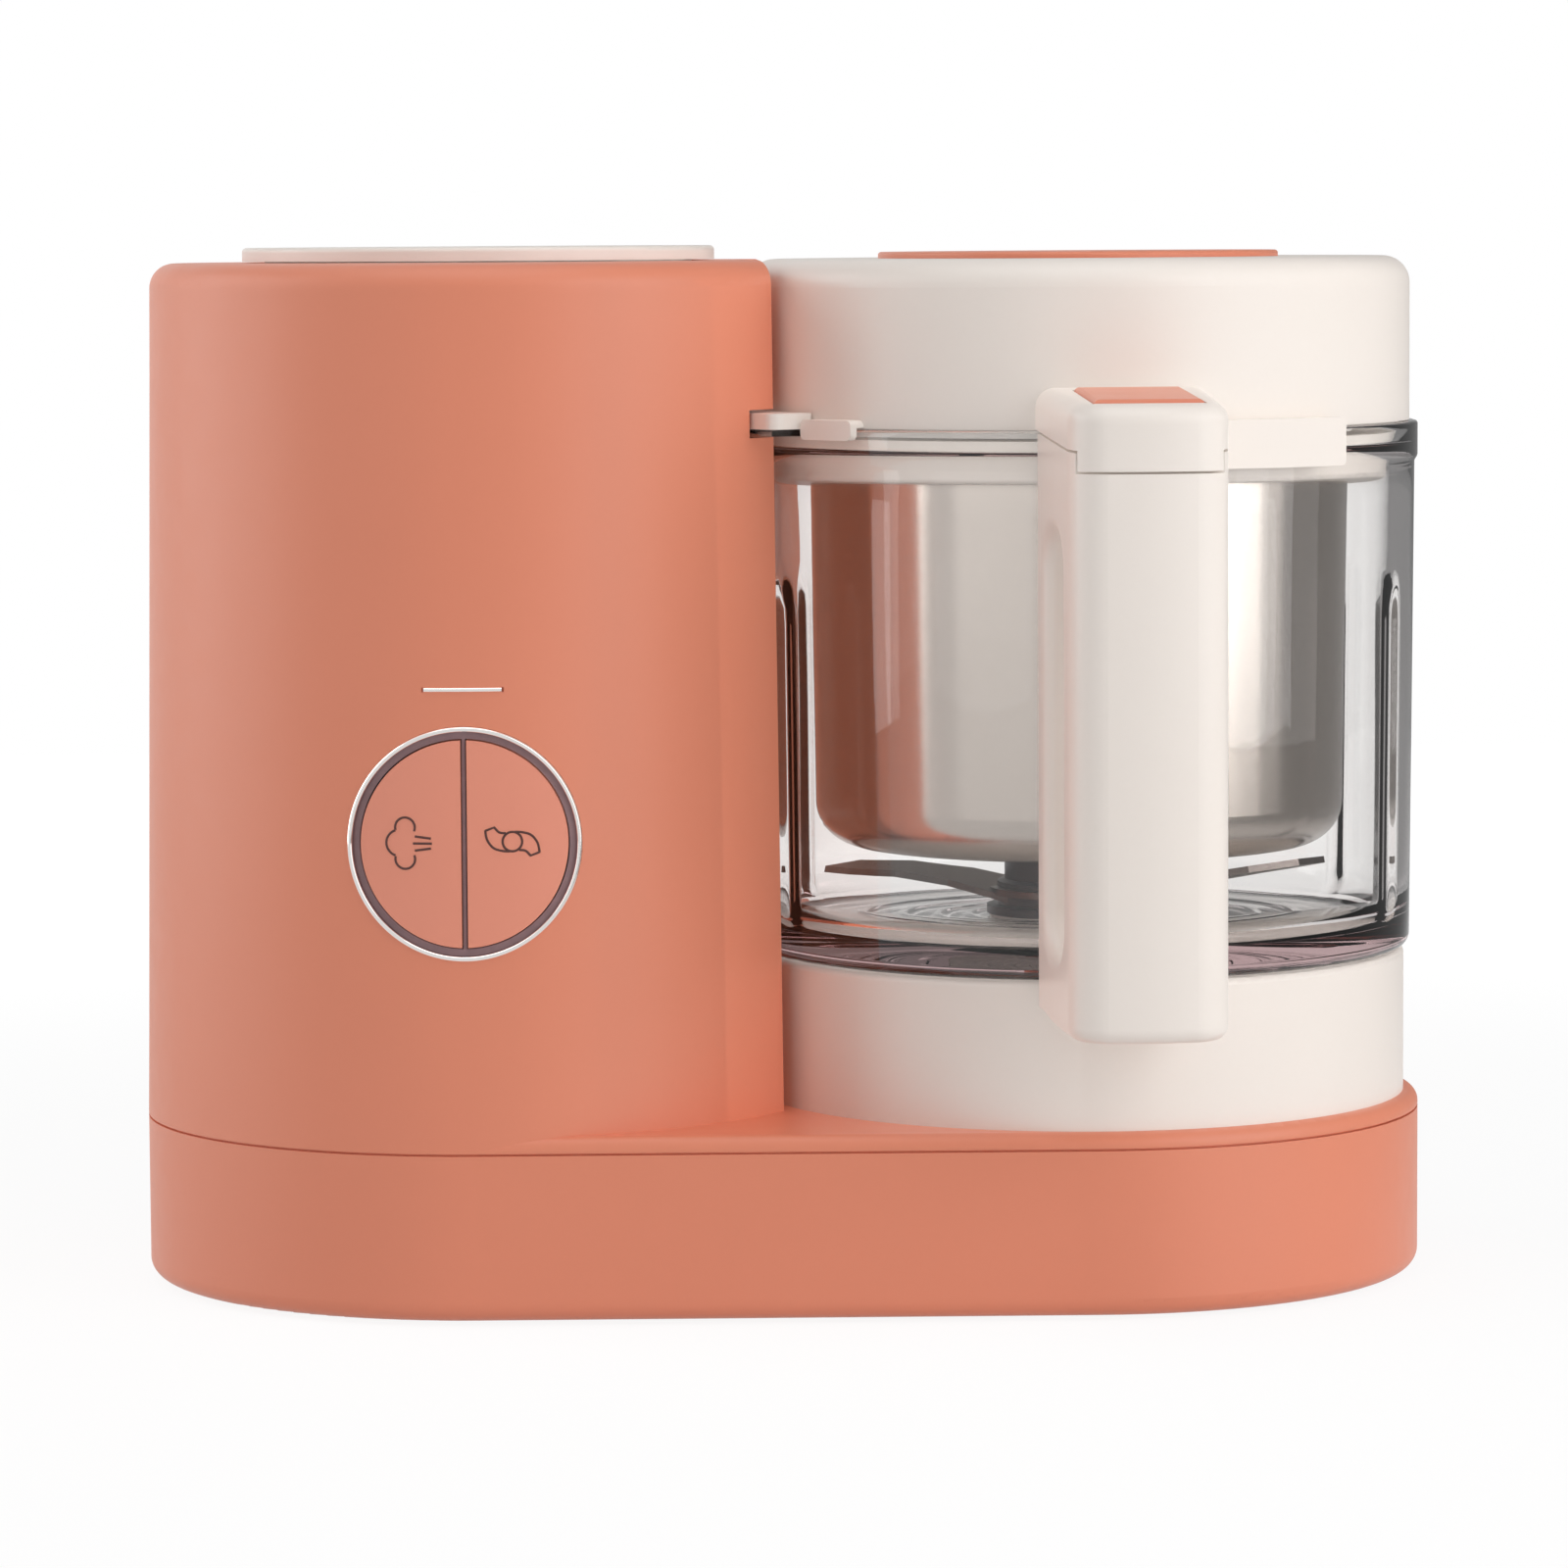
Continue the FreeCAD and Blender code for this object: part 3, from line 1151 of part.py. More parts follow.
node("lid_seal", tube(lid_inside - 2.5, lid_inside, size.basket_lip + 0.6, size.lid_low + 3.5), "bowl")
guide_length = 30
guide_start = -size.lid_radius - SPARE
guide_rod = rod(size.guide_radius, TO_RIGHT, guide_length, guide_start, 0, size.steam_level)
guide_solid = common([guide_rod, cylinder(lid_inside, size.lid_low, size.lid_top)])
guide_hole = rod(size.guide_bore, TO_RIGHT, 2 * guide_length, guide_start, 0, size.steam_level)
node("lid_steam_guide", cut(guide_solid, [guide_hole]), "bowl")


head_tilt = size.head_fall / (size.handle_reach - size.lid_radius)
head_slope = math.degrees(math.atan(head_tilt.value))
front_fall = head_tilt * (front_past - size.lid_radius)


def head_rim(edge):
    box = edge.BoundBox
    on_top = box.ZMin > size.head_top.value - front_fall.value and box.ZMax - box.ZMin < 3
    return on_top and box.YMin < -size.spine_front.value


head = new_body("head_moulding")
feature = add_pad(head, "XY_Plane", handle_plan, size.split_lip, size.head_top, grip_front)
feature = add_fillet(head, feature, size.grip_round, front_corner)
feature = add_side_cut(head, [
    (-size.lid_radius, size.head_top),
    (-front_past, size.head_top - front_fall),
    (-front_past, size.head_top + SPARE),
    (-size.lid_radius, size.head_top + SPARE),
])
feature = add_fillet(head, feature, size.head_round, head_rim)
feature = add_side_cut(head, [
    (0, size.split_lip - SPARE),
    (0, size.split_back + size.split_gap),
    (-size.spine_face, size.split_back + size.split_gap),
    (-lip_back - size.split_gap, size.split_front + size.split_gap),
    (-lip_back - size.split_gap, size.split_lip + size.split_gap),
    (-front_past, size.split_lip + size.split_gap),
    (-front_past, size.split_lip - SPARE),
])
feature = add_groove(head, [
    (0, size.split_lip - SPARE),
    (size.bowl_rim_radius + size.split_gap, size.split_lip - SPARE),
    (size.bowl_rim_radius + size.split_gap, size.lid_low + 0.1),
    (size.lid_radius, size.lid_low + 0.1),
    (size.lid_radius, size.head_top + SPARE),
    (0, size.head_top + SPARE),
])
release_wide = size.release_half + 0.4
head_cuts = [
    block((-release_wide, release_wide), (-size.release_front - 0.6, -size.release_back + 0.6),
          (size.head_top - 7.4, size.head_top + SPARE)),
    cylinder(size.stem_radius + 0.5, size.split_lip, size.head_top, 0, -size.release_stem),
]
node("latch_head", cut(head, head_cuts), "bowl", size.handle_angle)
release_block = block((-size.release_half, size.release_half),
                      (size.release_back - size.release_front, 0), (-2.8, size.release_proud))
release_cap = rounded(release_block, 1.2, at_level(size.release_proud))
release_level = size.head_top - head_tilt * (size.release_back - size.lid_radius)
place(release_cap, 0, -size.release_back, release_level,
      FreeCAD.Rotation(FreeCAD.Vector(1, 0, 0), head_slope))
release_stem = cylinder(size.stem_radius, size.release_low, size.head_top - 3, 0, -size.release_stem)
node("release_button", fuse([release_cap, release_stem]), "bowl", size.handle_angle)


def lid_lug(outer, low, high, start, sweep):
    """A lug that hangs over the rim and grips the lid wall above it."""
    skirt = sector(size.bowl_rim_radius + size.split_gap, outer, low, high, start, sweep)
    grip = sector(size.lid_radius, outer, size.lid_low + 0.2, high, start, sweep)

    def corner(edge):
        box = edge.BoundBox
        flat = box.ZMax - box.ZMin < 0.01 and edge.Length < 2 * SPARE
        return flat and min(abs(box.ZMin - value_of(low)), abs(box.ZMin - value_of(high))) < 0.01

    return rounded(fuse([skirt, grip]), size.strap_round, corner)


strap = lid_lug(size.strap_radius, size.strap_low, size.strap_high, 289.5, 23.9)
tab = lid_lug(size.tab_radius, size.tab_low, size.tab_high, 216.4, 11.5)
node("lid_lugs", fuse([strap, tab]), "bowl")

# Basket: a drawn steel cup with steam holes in its floor, held by a ring.

sheet_wall = size.basket_sheet
lip_reach = size.basket_radius + size.basket_lip_width
lip_under = size.basket_lip - sheet_wall
cup = turned("cup", [
    (0, size.basket_floor),
    (size.basket_foot_radius, size.basket_floor),
    (size.basket_radius, lip_under),
    (lip_reach, lip_under),
    (lip_reach, size.basket_lip),
    (size.basket_radius - sheet_wall, size.basket_lip),
    (size.basket_foot_radius - sheet_wall, size.basket_floor + sheet_wall),
    (0, size.basket_floor + sheet_wall),
], [
    (size.basket_foot_radius, size.basket_floor, size.basket_round),
    (size.basket_foot_radius - sheet_wall, size.basket_floor + sheet_wall, size.basket_round - sheet_wall),
])
z_axis = [item for item in cup.Origin.OriginFeatures if item.Role == "Z_Axis"][0]
for ring_index in (1, 2, 3):
    hole_reach = 12 * ring_index
    doc.recompute()
    sketch = new_sketch(cup, "XY_Plane")
    hole_centre = FreeCAD.Vector(hole_reach, 0, 0)
    hole_circle = Part.Circle(hole_centre, FreeCAD.Vector(0, 0, 1), size.basket_hole.value)
    sketch.addGeometry(hole_circle, False)
    sketch.addConstraint(Sketcher.Constraint("PointOnObject", 0, 3, -1))
    hold(sketch, "DistanceX", -1, 1, 0, 3, hole_reach)
    hold(sketch, "Radius", 0, size.basket_hole)
    sketch.setExpression("AttachmentOffset.Base.z", text_of(size.basket_floor + SPARE))
    hole = cup.newObject("PartDesign::Pocket", "steam_hole")
    hole.Profile = sketch
    hole.Length = 2 * SPARE
    doc.recompute()
    ring_holes = cup.newObject("PartDesign::PolarPattern", "steam_holes")
    ring_holes.Originals = [hole]
    ring_holes.Axis = (z_axis, [""])
    ring_holes.Angle = 360
    ring_holes.Occurrences = 6 * ring_index
    cup.Tip = ring_holes
node("steam_basket", cup, "bowl")
ring_inside = size.basket_radius + 0.05
ring_flange = size.ledge_level + 0.3
basket_ring = turned("ring", [
    (ring_inside, size.basket_ring_low),
    (size.basket_ring_radius, size.basket_ring_low),
    (size.basket_ring_radius, ring_flange),
    (rim_inside - 0.4, ring_flange),
    (rim_inside - 0.4, size.basket_lip),
    (lip_reach + 0.1, size.basket_lip),
    (lip_reach + 0.1, lip_under),
    (ring_inside, lip_under),
], [(size.basket_ring_radius, size.basket_ring_low, 1.2)])
node("basket_ring", basket_ring, "bowl")

# Tank cap on the filling mouth.

plug_radius = size.mouth_radius - 1.8
plug_low = size.tower_top - 3.2
cap = turned("cap", [
    (0, plug_low),
    (plug_radius, plug_low),
    (plug_radius, size.cap_low),
    (size.cap_radius, size.cap_low),
    (size.cap_radius, size.cap_top),
    (0, size.cap_top),
], [(size.cap_radius, size.cap_top, 1.0)])
node("tank_cap", cap, "tower")
node("cap_gasket", tube(plug_radius, plug_radius + 1.3, plug_low + 0.8, plug_low + 2.8), "tower")

# Every piece is checked and written.

doc.recompute()
faults = []
for item in doc.Objects:
    if "Invalid" in item.State or "Error" in item.State:
        faults.append(item.Label)
for item in nodes:
    if item.Shape.isNull() or not item.Shape.isValid():
        faults.append(item.Label + " has no valid shape")
if faults:
    raise RuntimeError("pieces to repair: " + ", ".join(faults))
os.makedirs("parts", exist_ok=True)
for item in nodes:
    item.Shape.exportStep("parts/" + item.Label + ".step")
    box = item.Shape.optimalBoundingBox()
    spans = (box.XMin, box.XMax, box.YMin, box.YMax, box.ZMin, box.ZMax)
    print(item.Label, len(item.Shape.Solids), "solids", [round(v, 2) for v in spans])
print(len(nodes), "pieces written")
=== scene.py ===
# %% [markdown]
# A worktop baby food maker, dressed for its picture. The solids arrive as a fixed frame: every
# object already stands in its place, in metres, and rides on the body that moves it. This lesson
# adds the finishes, the drawn glass, the screws, the feet, the plated ring and bar and the printed
# signs around that frame.

import json
import math

import bmesh
import bpy
from mathutils import Matrix, Vector


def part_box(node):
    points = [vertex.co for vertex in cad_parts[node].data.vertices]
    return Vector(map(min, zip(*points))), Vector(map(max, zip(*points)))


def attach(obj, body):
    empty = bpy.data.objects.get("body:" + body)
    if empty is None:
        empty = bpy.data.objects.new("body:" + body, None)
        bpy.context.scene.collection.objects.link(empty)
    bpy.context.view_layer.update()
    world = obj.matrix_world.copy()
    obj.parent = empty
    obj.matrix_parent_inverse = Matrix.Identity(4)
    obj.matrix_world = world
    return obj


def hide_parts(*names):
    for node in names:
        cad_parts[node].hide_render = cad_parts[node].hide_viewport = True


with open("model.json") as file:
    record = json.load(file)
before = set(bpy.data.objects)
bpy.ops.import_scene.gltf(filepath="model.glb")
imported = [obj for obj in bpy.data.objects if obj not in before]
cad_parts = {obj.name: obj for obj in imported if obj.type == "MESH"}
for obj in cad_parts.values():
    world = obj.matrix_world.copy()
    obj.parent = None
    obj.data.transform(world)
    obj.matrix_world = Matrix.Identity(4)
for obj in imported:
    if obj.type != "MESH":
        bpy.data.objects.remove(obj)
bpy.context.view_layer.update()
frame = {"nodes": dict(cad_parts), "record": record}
MM = 0.001

# %% [markdown]
# The round pieces share two upright axes, the tower's and the bowl's. They could be typed in, but
# it is safer to read them from the boxes of two round pieces that stand on them.

# %% Find the two axes
def middle(node):
    low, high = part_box(node)
    return (low + high) / 2


tower = middle("tank_cap")
bowl = middle("lid_inlay")
dial = middle("control_ring")
print("tower axis", tuple(tower.xy), "bowl axis", tuple(bowl.xy))

# %% [markdown]
# Shader sums are easier to read as Python than as a picture of nodes. A Wire holds one output
# socket, and its operators add Math nodes. A Bench adds any other node: the settings are set
# first, and then the sockets get their values or links.

# %% Write shader maths as Python
class Wire:
    """One output of a node, which Python operators can work on."""

    def __init__(self, bench, socket):
        self.bench = bench
        self.socket = socket

    def sum(self, operation, first, second):
        return self.bench.add("ShaderNodeMath", {"operation": operation}, {0: first, 1: second})

    def __add__(self, other):
        return self.sum("ADD", self, other)

    def __sub__(self, other):
        return self.sum("SUBTRACT", self, other)

    def __mul__(self, other):
        return self.sum("MULTIPLY", self, other)

    def __rsub__(self, other):
        return self.sum("SUBTRACT", other, self)

    __radd__ = __add__
    __rmul__ = __mul__


class Bench:
    """A node tree with one method that adds a node."""

    def __init__(self, tree):
        self.tree = tree

    def add(self, kind, settings=None, values=None, out=0):
        node = self.tree.nodes.new(kind)
        for name, value in (settings or {}).items():
            setattr(node, name, value)
        for key, value in (values or {}).items():
            self.feed(node.inputs[key], value)
        return Wire(self, node.outputs[out])

    def feed(self, socket, value):
        if isinstance(value, Wire):
            self.tree.links.new(value.socket, socket)
        else:
            socket.default_value = value


print("shader helpers ready")

# %% [markdown]
# Colours are written as the eye sees them, from 0 to 255, and turned into the linear light that
# the renderer works in. Each finish then starts from one Principled shader.

# %% Colours and a blank finish
def light(red, green, blue):
    def linear(c):
        c = c / 255
        return c / 12.92 if c <= 0.04045 else ((c + 0.055) / 1.055) ** 2.4
    return (linear(red), linear(green), linear(blue), 1.0)


class Finish(Bench):
    """A material around one Principled shader."""

    def __init__(self, name):
        self.material = bpy.data.materials.new(name)
        self.material.use_nodes = True
        super().__init__(self.material.node_tree)
        self.shader = self.tree.nodes["Principled BSDF"]
        self.coords = self.add("ShaderNodeTexCoord", out=3)

    def put(self, **values):
        for name, value in values.items():
            self.feed(self.shader.inputs[name.replace("_", " ")], value)

    def noise(self, scale, detail=2.0, stretch=None):
        place = self.coords
        if stretch:
            place = self.add("ShaderNodeMapping", values={"Vector": place, "Scale": stretch})
        values = {"Vector": place, "Scale": scale, "Detail": detail}
        return self.add("ShaderNodeTexNoise", values=values)

    def blend(self, first, second, share):
        settings = {"data_type": "RGBA"}
        return self.add("ShaderNodeMix", settings, {0: share, 6: first, 7: second}, out=2)

    def bump(self, height, strength, depth):
        values = {"Height": height, "Strength": strength, "Distance": depth}
        self.put(Normal=self.add("ShaderNodeBump", values=values))


print("terracotta in linear light", [round(c, 3) for c in light(220, 134, 105)])

# %% [markdown]
# The housing and the lid are moulded plastic. Real mouldings are never one flat colour: the
# pigment drifts a little, the tool leaves a fine grain and the gloss is slightly uneven. Three
# noises at three scales give that, the grain through a bump so that light catches it.

# %% Moulded plastics
DRIFT_SCALE, SPECK_SCALE, GLOSS_SCALE = 14.0, 900.0, 160.0
GRAIN_STRENGTH, GRAIN_DEPTH = 0.12, 0.00006


def moulded(name, colour, tint, gloss, grain):
    finish = Finish(name)
    drift = finish.noise(DRIFT_SCALE, 3.0)
    speck = finish.noise(SPECK_SCALE)
    share = drift * 0.8 + speck * 0.2
    finish.put(Base_Color=finish.blend(colour, tint, share))
    finish.put(Roughness=gloss + (finish.noise(GLOSS_SCALE) - 0.5) * 0.10)
    finish.bump(finish.noise(grain, 1.0), GRAIN_STRENGTH, GRAIN_DEPTH)
    return finish.material


finishes = {}
finishes["terracotta"] = moulded(
    "terracotta", light(217, 131, 102), light(223, 137, 108), 0.40, 2600.0)
finishes["button_skin"] = moulded(
    "button_skin", light(222, 140, 116), light(228, 146, 122), 0.36, 2600.0)
finishes["ivory"] = moulded(
    "ivory", light(232, 223, 215), light(238, 230, 223), 0.36, 3000.0)
finishes["black_plastic"] = moulded(
    "black_plastic", light(44, 42, 45), light(54, 52, 55), 0.40, 2200.0)
print("plastics:", sorted(finishes))

# %% [markdown]
# The soft rubbers are matt. A coarser grain and a little dust in the colour keep them from looking
# like black plastic.

# %% Rubbers
def rubber(name, colour, dust, grain):
    finish = Finish(name)
    cloud = finish.noise(70.0, 4.0)
    finish.put(Base_Color=finish.blend(colour, dust, cloud * cloud))
    finish.put(Roughness=0.62 + finish.noise(400.0) * 0.2)
    finish.bump(finish.noise(grain, 2.0), 0.3, 0.0001)
    return finish.material


finishes["foot_rubber"] = rubber("foot_rubber", light(52, 50, 50), light(82, 78, 76), 1500.0)
finishes["silicone"] = rubber("silicone", light(214, 208, 203), light(226, 221, 217), 1800.0)
print("rubbers ready")

# %% [markdown]
# Metals differ by how they were worked. Noise that is stretched along the working direction gives
# the marks: long turns of brushing round the basket, short hair lines on rolled parts and almost
# nothing on plated trim. The basket also spreads its reflections upright, across the brushing.

# %% Metals
def metal(name, colour, shade, gloss, marks, stretch, depth):
    finish = Finish(name)
    lines = finish.noise(1.0, 3.0, stretch=stretch)
    cloud = finish.noise(45.0, 3.0)
    finish.put(Base_Color=finish.blend(colour, shade, lines * 0.6 + cloud * 0.4))
    finish.put(Metallic=1.0, Roughness=gloss + (lines - 0.5) * marks)
    finish.bump(lines, 0.25, depth)
    return finish


brushed = metal("brushed_steel", light(206, 197, 190), light(192, 183, 176), 0.20, 0.05,
                (30.0, 30.0, 9000.0), 0.000003)
brushed.put(Anisotropic=0.6, Anisotropic_Rotation=0.25)
finishes["brushed_steel"] = brushed.material
finishes["bright_steel"] = metal(
    "bright_steel", light(214, 213, 211), light(190, 188, 186), 0.20, 0.12,
    (900.0, 900.0, 90.0), 0.00001).material
# The blade's steel, darker and browner than the other steels.
finishes["dark_steel"] = metal(
    "dark_steel", light(128, 119, 115), light(104, 97, 94), 0.30, 0.12,
    (900.0, 900.0, 90.0), 0.00001).material
finishes["chrome_trim"] = metal(
    "chrome_trim", light(244, 240, 237), light(234, 230, 227), 0.07, 0.05,
    (700.0, 700.0, 700.0), 0.000004).material
finishes["aluminium"] = metal(
    "aluminium", light(196, 197, 199), light(172, 173, 176), 0.36, 0.18,
    (350.0, 350.0, 350.0), 0.00003).material
finishes["copper_wire"] = metal(
    "copper_wire", light(198, 122, 82), light(160, 88, 56), 0.30, 0.16,
    (60.0, 60.0, 2600.0), 0.0001).material
finishes["lamination"] = metal(
    "lamination", light(122, 122, 124), light(88, 88, 92), 0.44, 0.20,
    (40.0, 40.0, 2400.0), 0.00008).material
print("metals ready")

# %% [markdown]
# Two small finishes are left over: the smoky light ring around the buttons, which is a clear
# tinted plastic over a dark frame, and the green boards with their fine copper tracks.

# %% Smoke and boards
smoke = Finish("smoke")
smoke_cloud = smoke.noise(300.0, 3.0)
smoke.put(Base_Color=smoke.blend(light(116, 86, 89), light(142, 110, 113), smoke_cloud))
smoke.put(Roughness=0.30 + smoke_cloud * 0.1, Coat_Weight=0.5, Coat_Roughness=0.12)
finishes["smoke"] = smoke.material

TRACK_SCALE, TRACK_WIDTH = 260.0, 0.08
board = Finish("board_green")
tracks = board.add("ShaderNodeTexVoronoi", {"feature": "DISTANCE_TO_EDGE"},
                   {"Vector": board.coords, "Scale": TRACK_SCALE})
track_mask = board.add("ShaderNodeMath", {"operation": "LESS_THAN"}, {0: tracks, 1: TRACK_WIDTH})
board.put(Base_Color=board.blend(light(34, 92, 58), light(58, 124, 76), track_mask))
board.put(Roughness=0.35 + board.noise(500.0) * 0.15)
board.bump(track_mask, 0.2, 0.00005)
finishes["board_green"] = board.material
print("all finishes:", len(finishes))

# %% [markdown]
# The bowl is pressed glass, clear with a grey depth where one looks along the wall. The
# tint comes from the volume, so thick places show more of it. A very slow wave in the surface
# bends what is seen through it, as pressed glass does.

# %% Clear glass
glass = Finish("clear_glass")
glass.put(Base_Color=light(252, 253, 252), Transmission_Weight=1.0, IOR=1.5)
glass.put(Roughness=glass.noise(40.0) * 0.02)
glass.bump(glass.noise(38.0, 1.0, stretch=(1.0, 1.0, 0.35)), 0.3, 0.0005)
depth = glass.add("ShaderNodeVolumeAbsorption", values={
    "Color": light(230, 215, 216), "Density": 24.0})
glass.feed(glass.tree.nodes["Material Output"].inputs["Volume"], depth)
finishes["clear_glass"] = glass.material
print("glass ready")

# %% [markdown]
# The record says which slot each solid takes its finish from. One loop gives every solid its
# material and leaves its shape alone. The blade gets a darker, brown-grey steel and the buttons are
# moulded a little paler than the tower, so these three have a finish of their own.

# %% Dress the solids
OWN_FINISH = {"blade_wings": "dark_steel", "steam_button": "button_skin",
              "blend_button": "button_skin"}

for part in frame["record"]["subparts"]:
    materials = frame["nodes"][part["node"]].data.materials
    materials.clear()
    materials.append(finishes[OWN_FINISH.get(part["node"], part["material_slot"])])

# %% [markdown]
# Every new piece ends the same way: a plain mesh at the origin, one material taken from the finish
# of its slot and the body it rides on; the solids that it stands for are hidden.

# %% Finish a new piece
def settle(name, mesh, slot, body, *stands_for):
    piece = bpy.data.objects.new(name, mesh)
    bpy.context.scene.collection.objects.link(piece)
    mesh.materials.clear()
    mesh.materials.append(finishes[slot])
    for face in mesh.polygons:
        face.material_index = 0
    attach(piece, body)
    if stands_for:
        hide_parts(*stands_for)
    print(name, "faces:", len(mesh.polygons), "rides on", body)
    return piece


def smooth(mesh, degrees=35.0):
    mesh.shade_smooth()
    mesh.set_sharp_from_angle(angle=math.radians(degrees))


print("settle and smooth ready")

# %% [markdown]
# The glass could stay the solid that came with the frame, but pressed glass has soft ribs inside
# and ripples in its floor. It is one closed outline, turned about the bowl axis: each point of the
# outline may move with the angle, which gives the ribs inside and the lug at the rim.

# %% Turn the glass bowl
RIB_ANGLES = (23.0, 157.0, 203.0, 337.0)
RIB_TOP = 76.6
RIB_WIDTH = 5.2
RIB_HEIGHT = 1.8
RIB_SEAT = 68.0
RIB_RUN_IN = 6.0
RIPPLE_HEIGHT, RIPPLE_WIDTH = 0.45, 1.1
LUG_START, LUG_END = 188.0, 215.0
LUG_REACH = 83.2
RIM_RADIUS = 75.2
FLOOR_RINGS = (24.0, 31.0, 39.0, 48.0)
FLOOR_LEVEL = 6.0
glass_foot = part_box("glass_bowl")[0].z / MM


def arc(centre, radius, start, end, steps):
    points = []
    for i in range(steps + 1):
        a = math.radians(start + (end - start) * i / steps)
        points.append((centre[0] + radius * math.cos(a), centre[1] + radius * math.sin(a)))
    return points


def outline():
    """The glass section as (radius, height over the foot, kind), once round, in millimetres."""
    rows = [(9.4, 1.9, ""), (21.0, 1.9, ""), (26.0, 1.5, ""), (32.0, 0.9, ""), (38.0, 0.35, "")]
    rows += [(44.0, 0.05, ""), (50.0, 0.0, ""), (60.0, 0.0, "")]
    rows += [(r, z, "") for r, z in arc((70.6, 3.0), 3.0, -90, 0, 8)]
    rows += [(73.6 + 0.9 * i / 12, 3.0 + 104.9 * i / 12, "") for i in range(1, 12)]
    rows += [(74.5, 107.7, ""), (74.62, 108.1, ""), (75.05, 108.8, ""), (RIM_RADIUS, 109.3, "")]
    rows += [(RIM_RADIUS, 115.0, ""), (RIM_RADIUS, 115.2, "lug"), (RIM_RADIUS, 116.1, "lug")]
    rows += [(74.95, 116.5, "lug"), (74.3, 116.7, ""), (72.4, 116.7, "")]
    rows += [(r, z, "") for r, z in arc((72.2, 115.9), 0.8, 90, 180, 5)]
    rows += [(71.4, 112.9, ""), (71.1, 112.2, ""), (70.5, 111.9, ""), (69.5, 111.9, "")]
    rows += [(68.9, 111.3, "")]
    rows += [(68.9 - 0.84 * i / 26, 111.3 - 98.3 * i / 26, "wall") for i in range(1, 27)]
    rows += [(r, z, "wall") for r, z in arc((61.06, 13.0), 7.0, -6, -90, 8)]
    rows += [(58.0 - 41.0 * i / 60, FLOOR_LEVEL, "floor") for i in range(61)]
    rows += [(12.0, FLOOR_LEVEL, ""), (9.4, FLOOR_LEVEL, "")]
    return rows


def rib_at(angle, z):
    """How far a rib stands in from the inner wall."""
    above = max(0.0, z - RIB_TOP)
    best = 0.0
    for rib in RIB_ANGLES:
        across = math.radians((angle - rib + 180) % 360 - 180) * RIB_SEAT
        near = (across * across + above * above) / RIB_WIDTH ** 2
        best = max(best, (1 - near) ** 2 if near < 1 else 0.0)
    return RIB_HEIGHT * best


def ripple_at(radius):
    """Height of the rings that the press leaves in the floor."""
    return sum(RIPPLE_HEIGHT * math.exp(-((radius - ring) / RIPPLE_WIDTH) ** 2)
               for ring in FLOOR_RINGS)


def glass_point(angle, row):
    radius, z, kind = row
    if kind == "wall":
        run_in = min(1.0, max(0.0, (z - FLOOR_LEVEL) / RIB_RUN_IN))
        radius -= rib_at(angle, z) * run_in
    if kind == "floor":
        z += ripple_at(radius)
    if kind == "lug" and LUG_START <= angle <= LUG_END:
        radius += LUG_REACH - RIM_RADIUS
    a = math.radians(angle)
    z += glass_foot
    return (bowl.x + radius * MM * math.cos(a), bowl.y + radius * MM * math.sin(a), z * MM)


def turned_mesh(name, rows, angles, point):
    """A closed outline carried once round, as a grid of four-sided faces."""
    count = len(rows)
    points = [point(angle, row) for angle in angles for row in rows]
    faces = []
    for i in range(len(angles)):
        near, far = i * count, (i + 1) % len(angles) * count
        for j in range(count):
            k = (j + 1) % count
            faces.append((near + j, far + j, far + k, near + k))
    mesh = bpy.data.meshes.new(name)
    mesh.from_pydata(points, [], faces)
    mesh.update()
    return mesh


COLUMNS = 420
angles = sorted({i * 360.0 / COLUMNS for i in range(COLUMNS)} | {LUG_START - 0.2, LUG_END + 0.2})
glass_mesh = turned_mesh("drawn_glass", outline(), angles, glass_point)
smooth(glass_mesh, 50.0)
glass_bowl = settle("drawn_glass", glass_mesh, "clear_glass", "bowl", "glass_bowl")
glass_bowl.visible_shadow = False

# %% [markdown]
# Screws and feet repeat, so Geometry Nodes place them: one drawn screw or foot, a cloud of points
# where they stand, and a tree that sets one on each point. The instances are realised and the
# result is kept as a plain mesh, because the exported model knows no instances.

# %% Place copies on points
def plain_mesh(carrier, name):
    """The evaluated shape of a carrier as a mesh of its own; the carrier goes."""
    layer = bpy.context.evaluated_depsgraph_get()
    mesh = bpy.data.meshes.new_from_object(carrier.evaluated_get(layer))
    mesh.name = name
    bpy.data.objects.remove(carrier)
    return mesh


def carrier_of(name, points, edges=()):
    mesh = bpy.data.meshes.new(name)
    mesh.from_pydata(points, edges, [])
    carrier = bpy.data.objects.new(name, mesh)
    bpy.context.scene.collection.objects.link(carrier)
    return carrier


def new_tree(name, inputs):
    tree = bpy.data.node_groups.new(name, "GeometryNodeTree")
    for label, kind in inputs:
        tree.interface.new_socket(label, in_out="INPUT", socket_type=kind)
    tree.interface.new_socket("Geometry", in_out="OUTPUT", socket_type="NodeSocketGeometry")
    bench = Bench(tree)
    entry = tree.nodes.new("NodeGroupInput")
    wires = {label: Wire(bench, entry.outputs[label]) for label, kind in inputs}
    return tree, bench, wires


def run_tree(carrier, tree, values):
    """Runs the tree on the carrier, its inputs set by identifier."""
    work = carrier.modifiers.new("work", "NODES")
    work.node_group = tree
    for item in tree.interface.items_tree:
        if item.in_out == "INPUT" and item.name in values:
            work[item.identifier] = values[item.name]


def close_tree(bench, wire):
    out = bench.tree.nodes.new("NodeGroupOutput")
    bench.feed(out.inputs["Geometry"], wire)


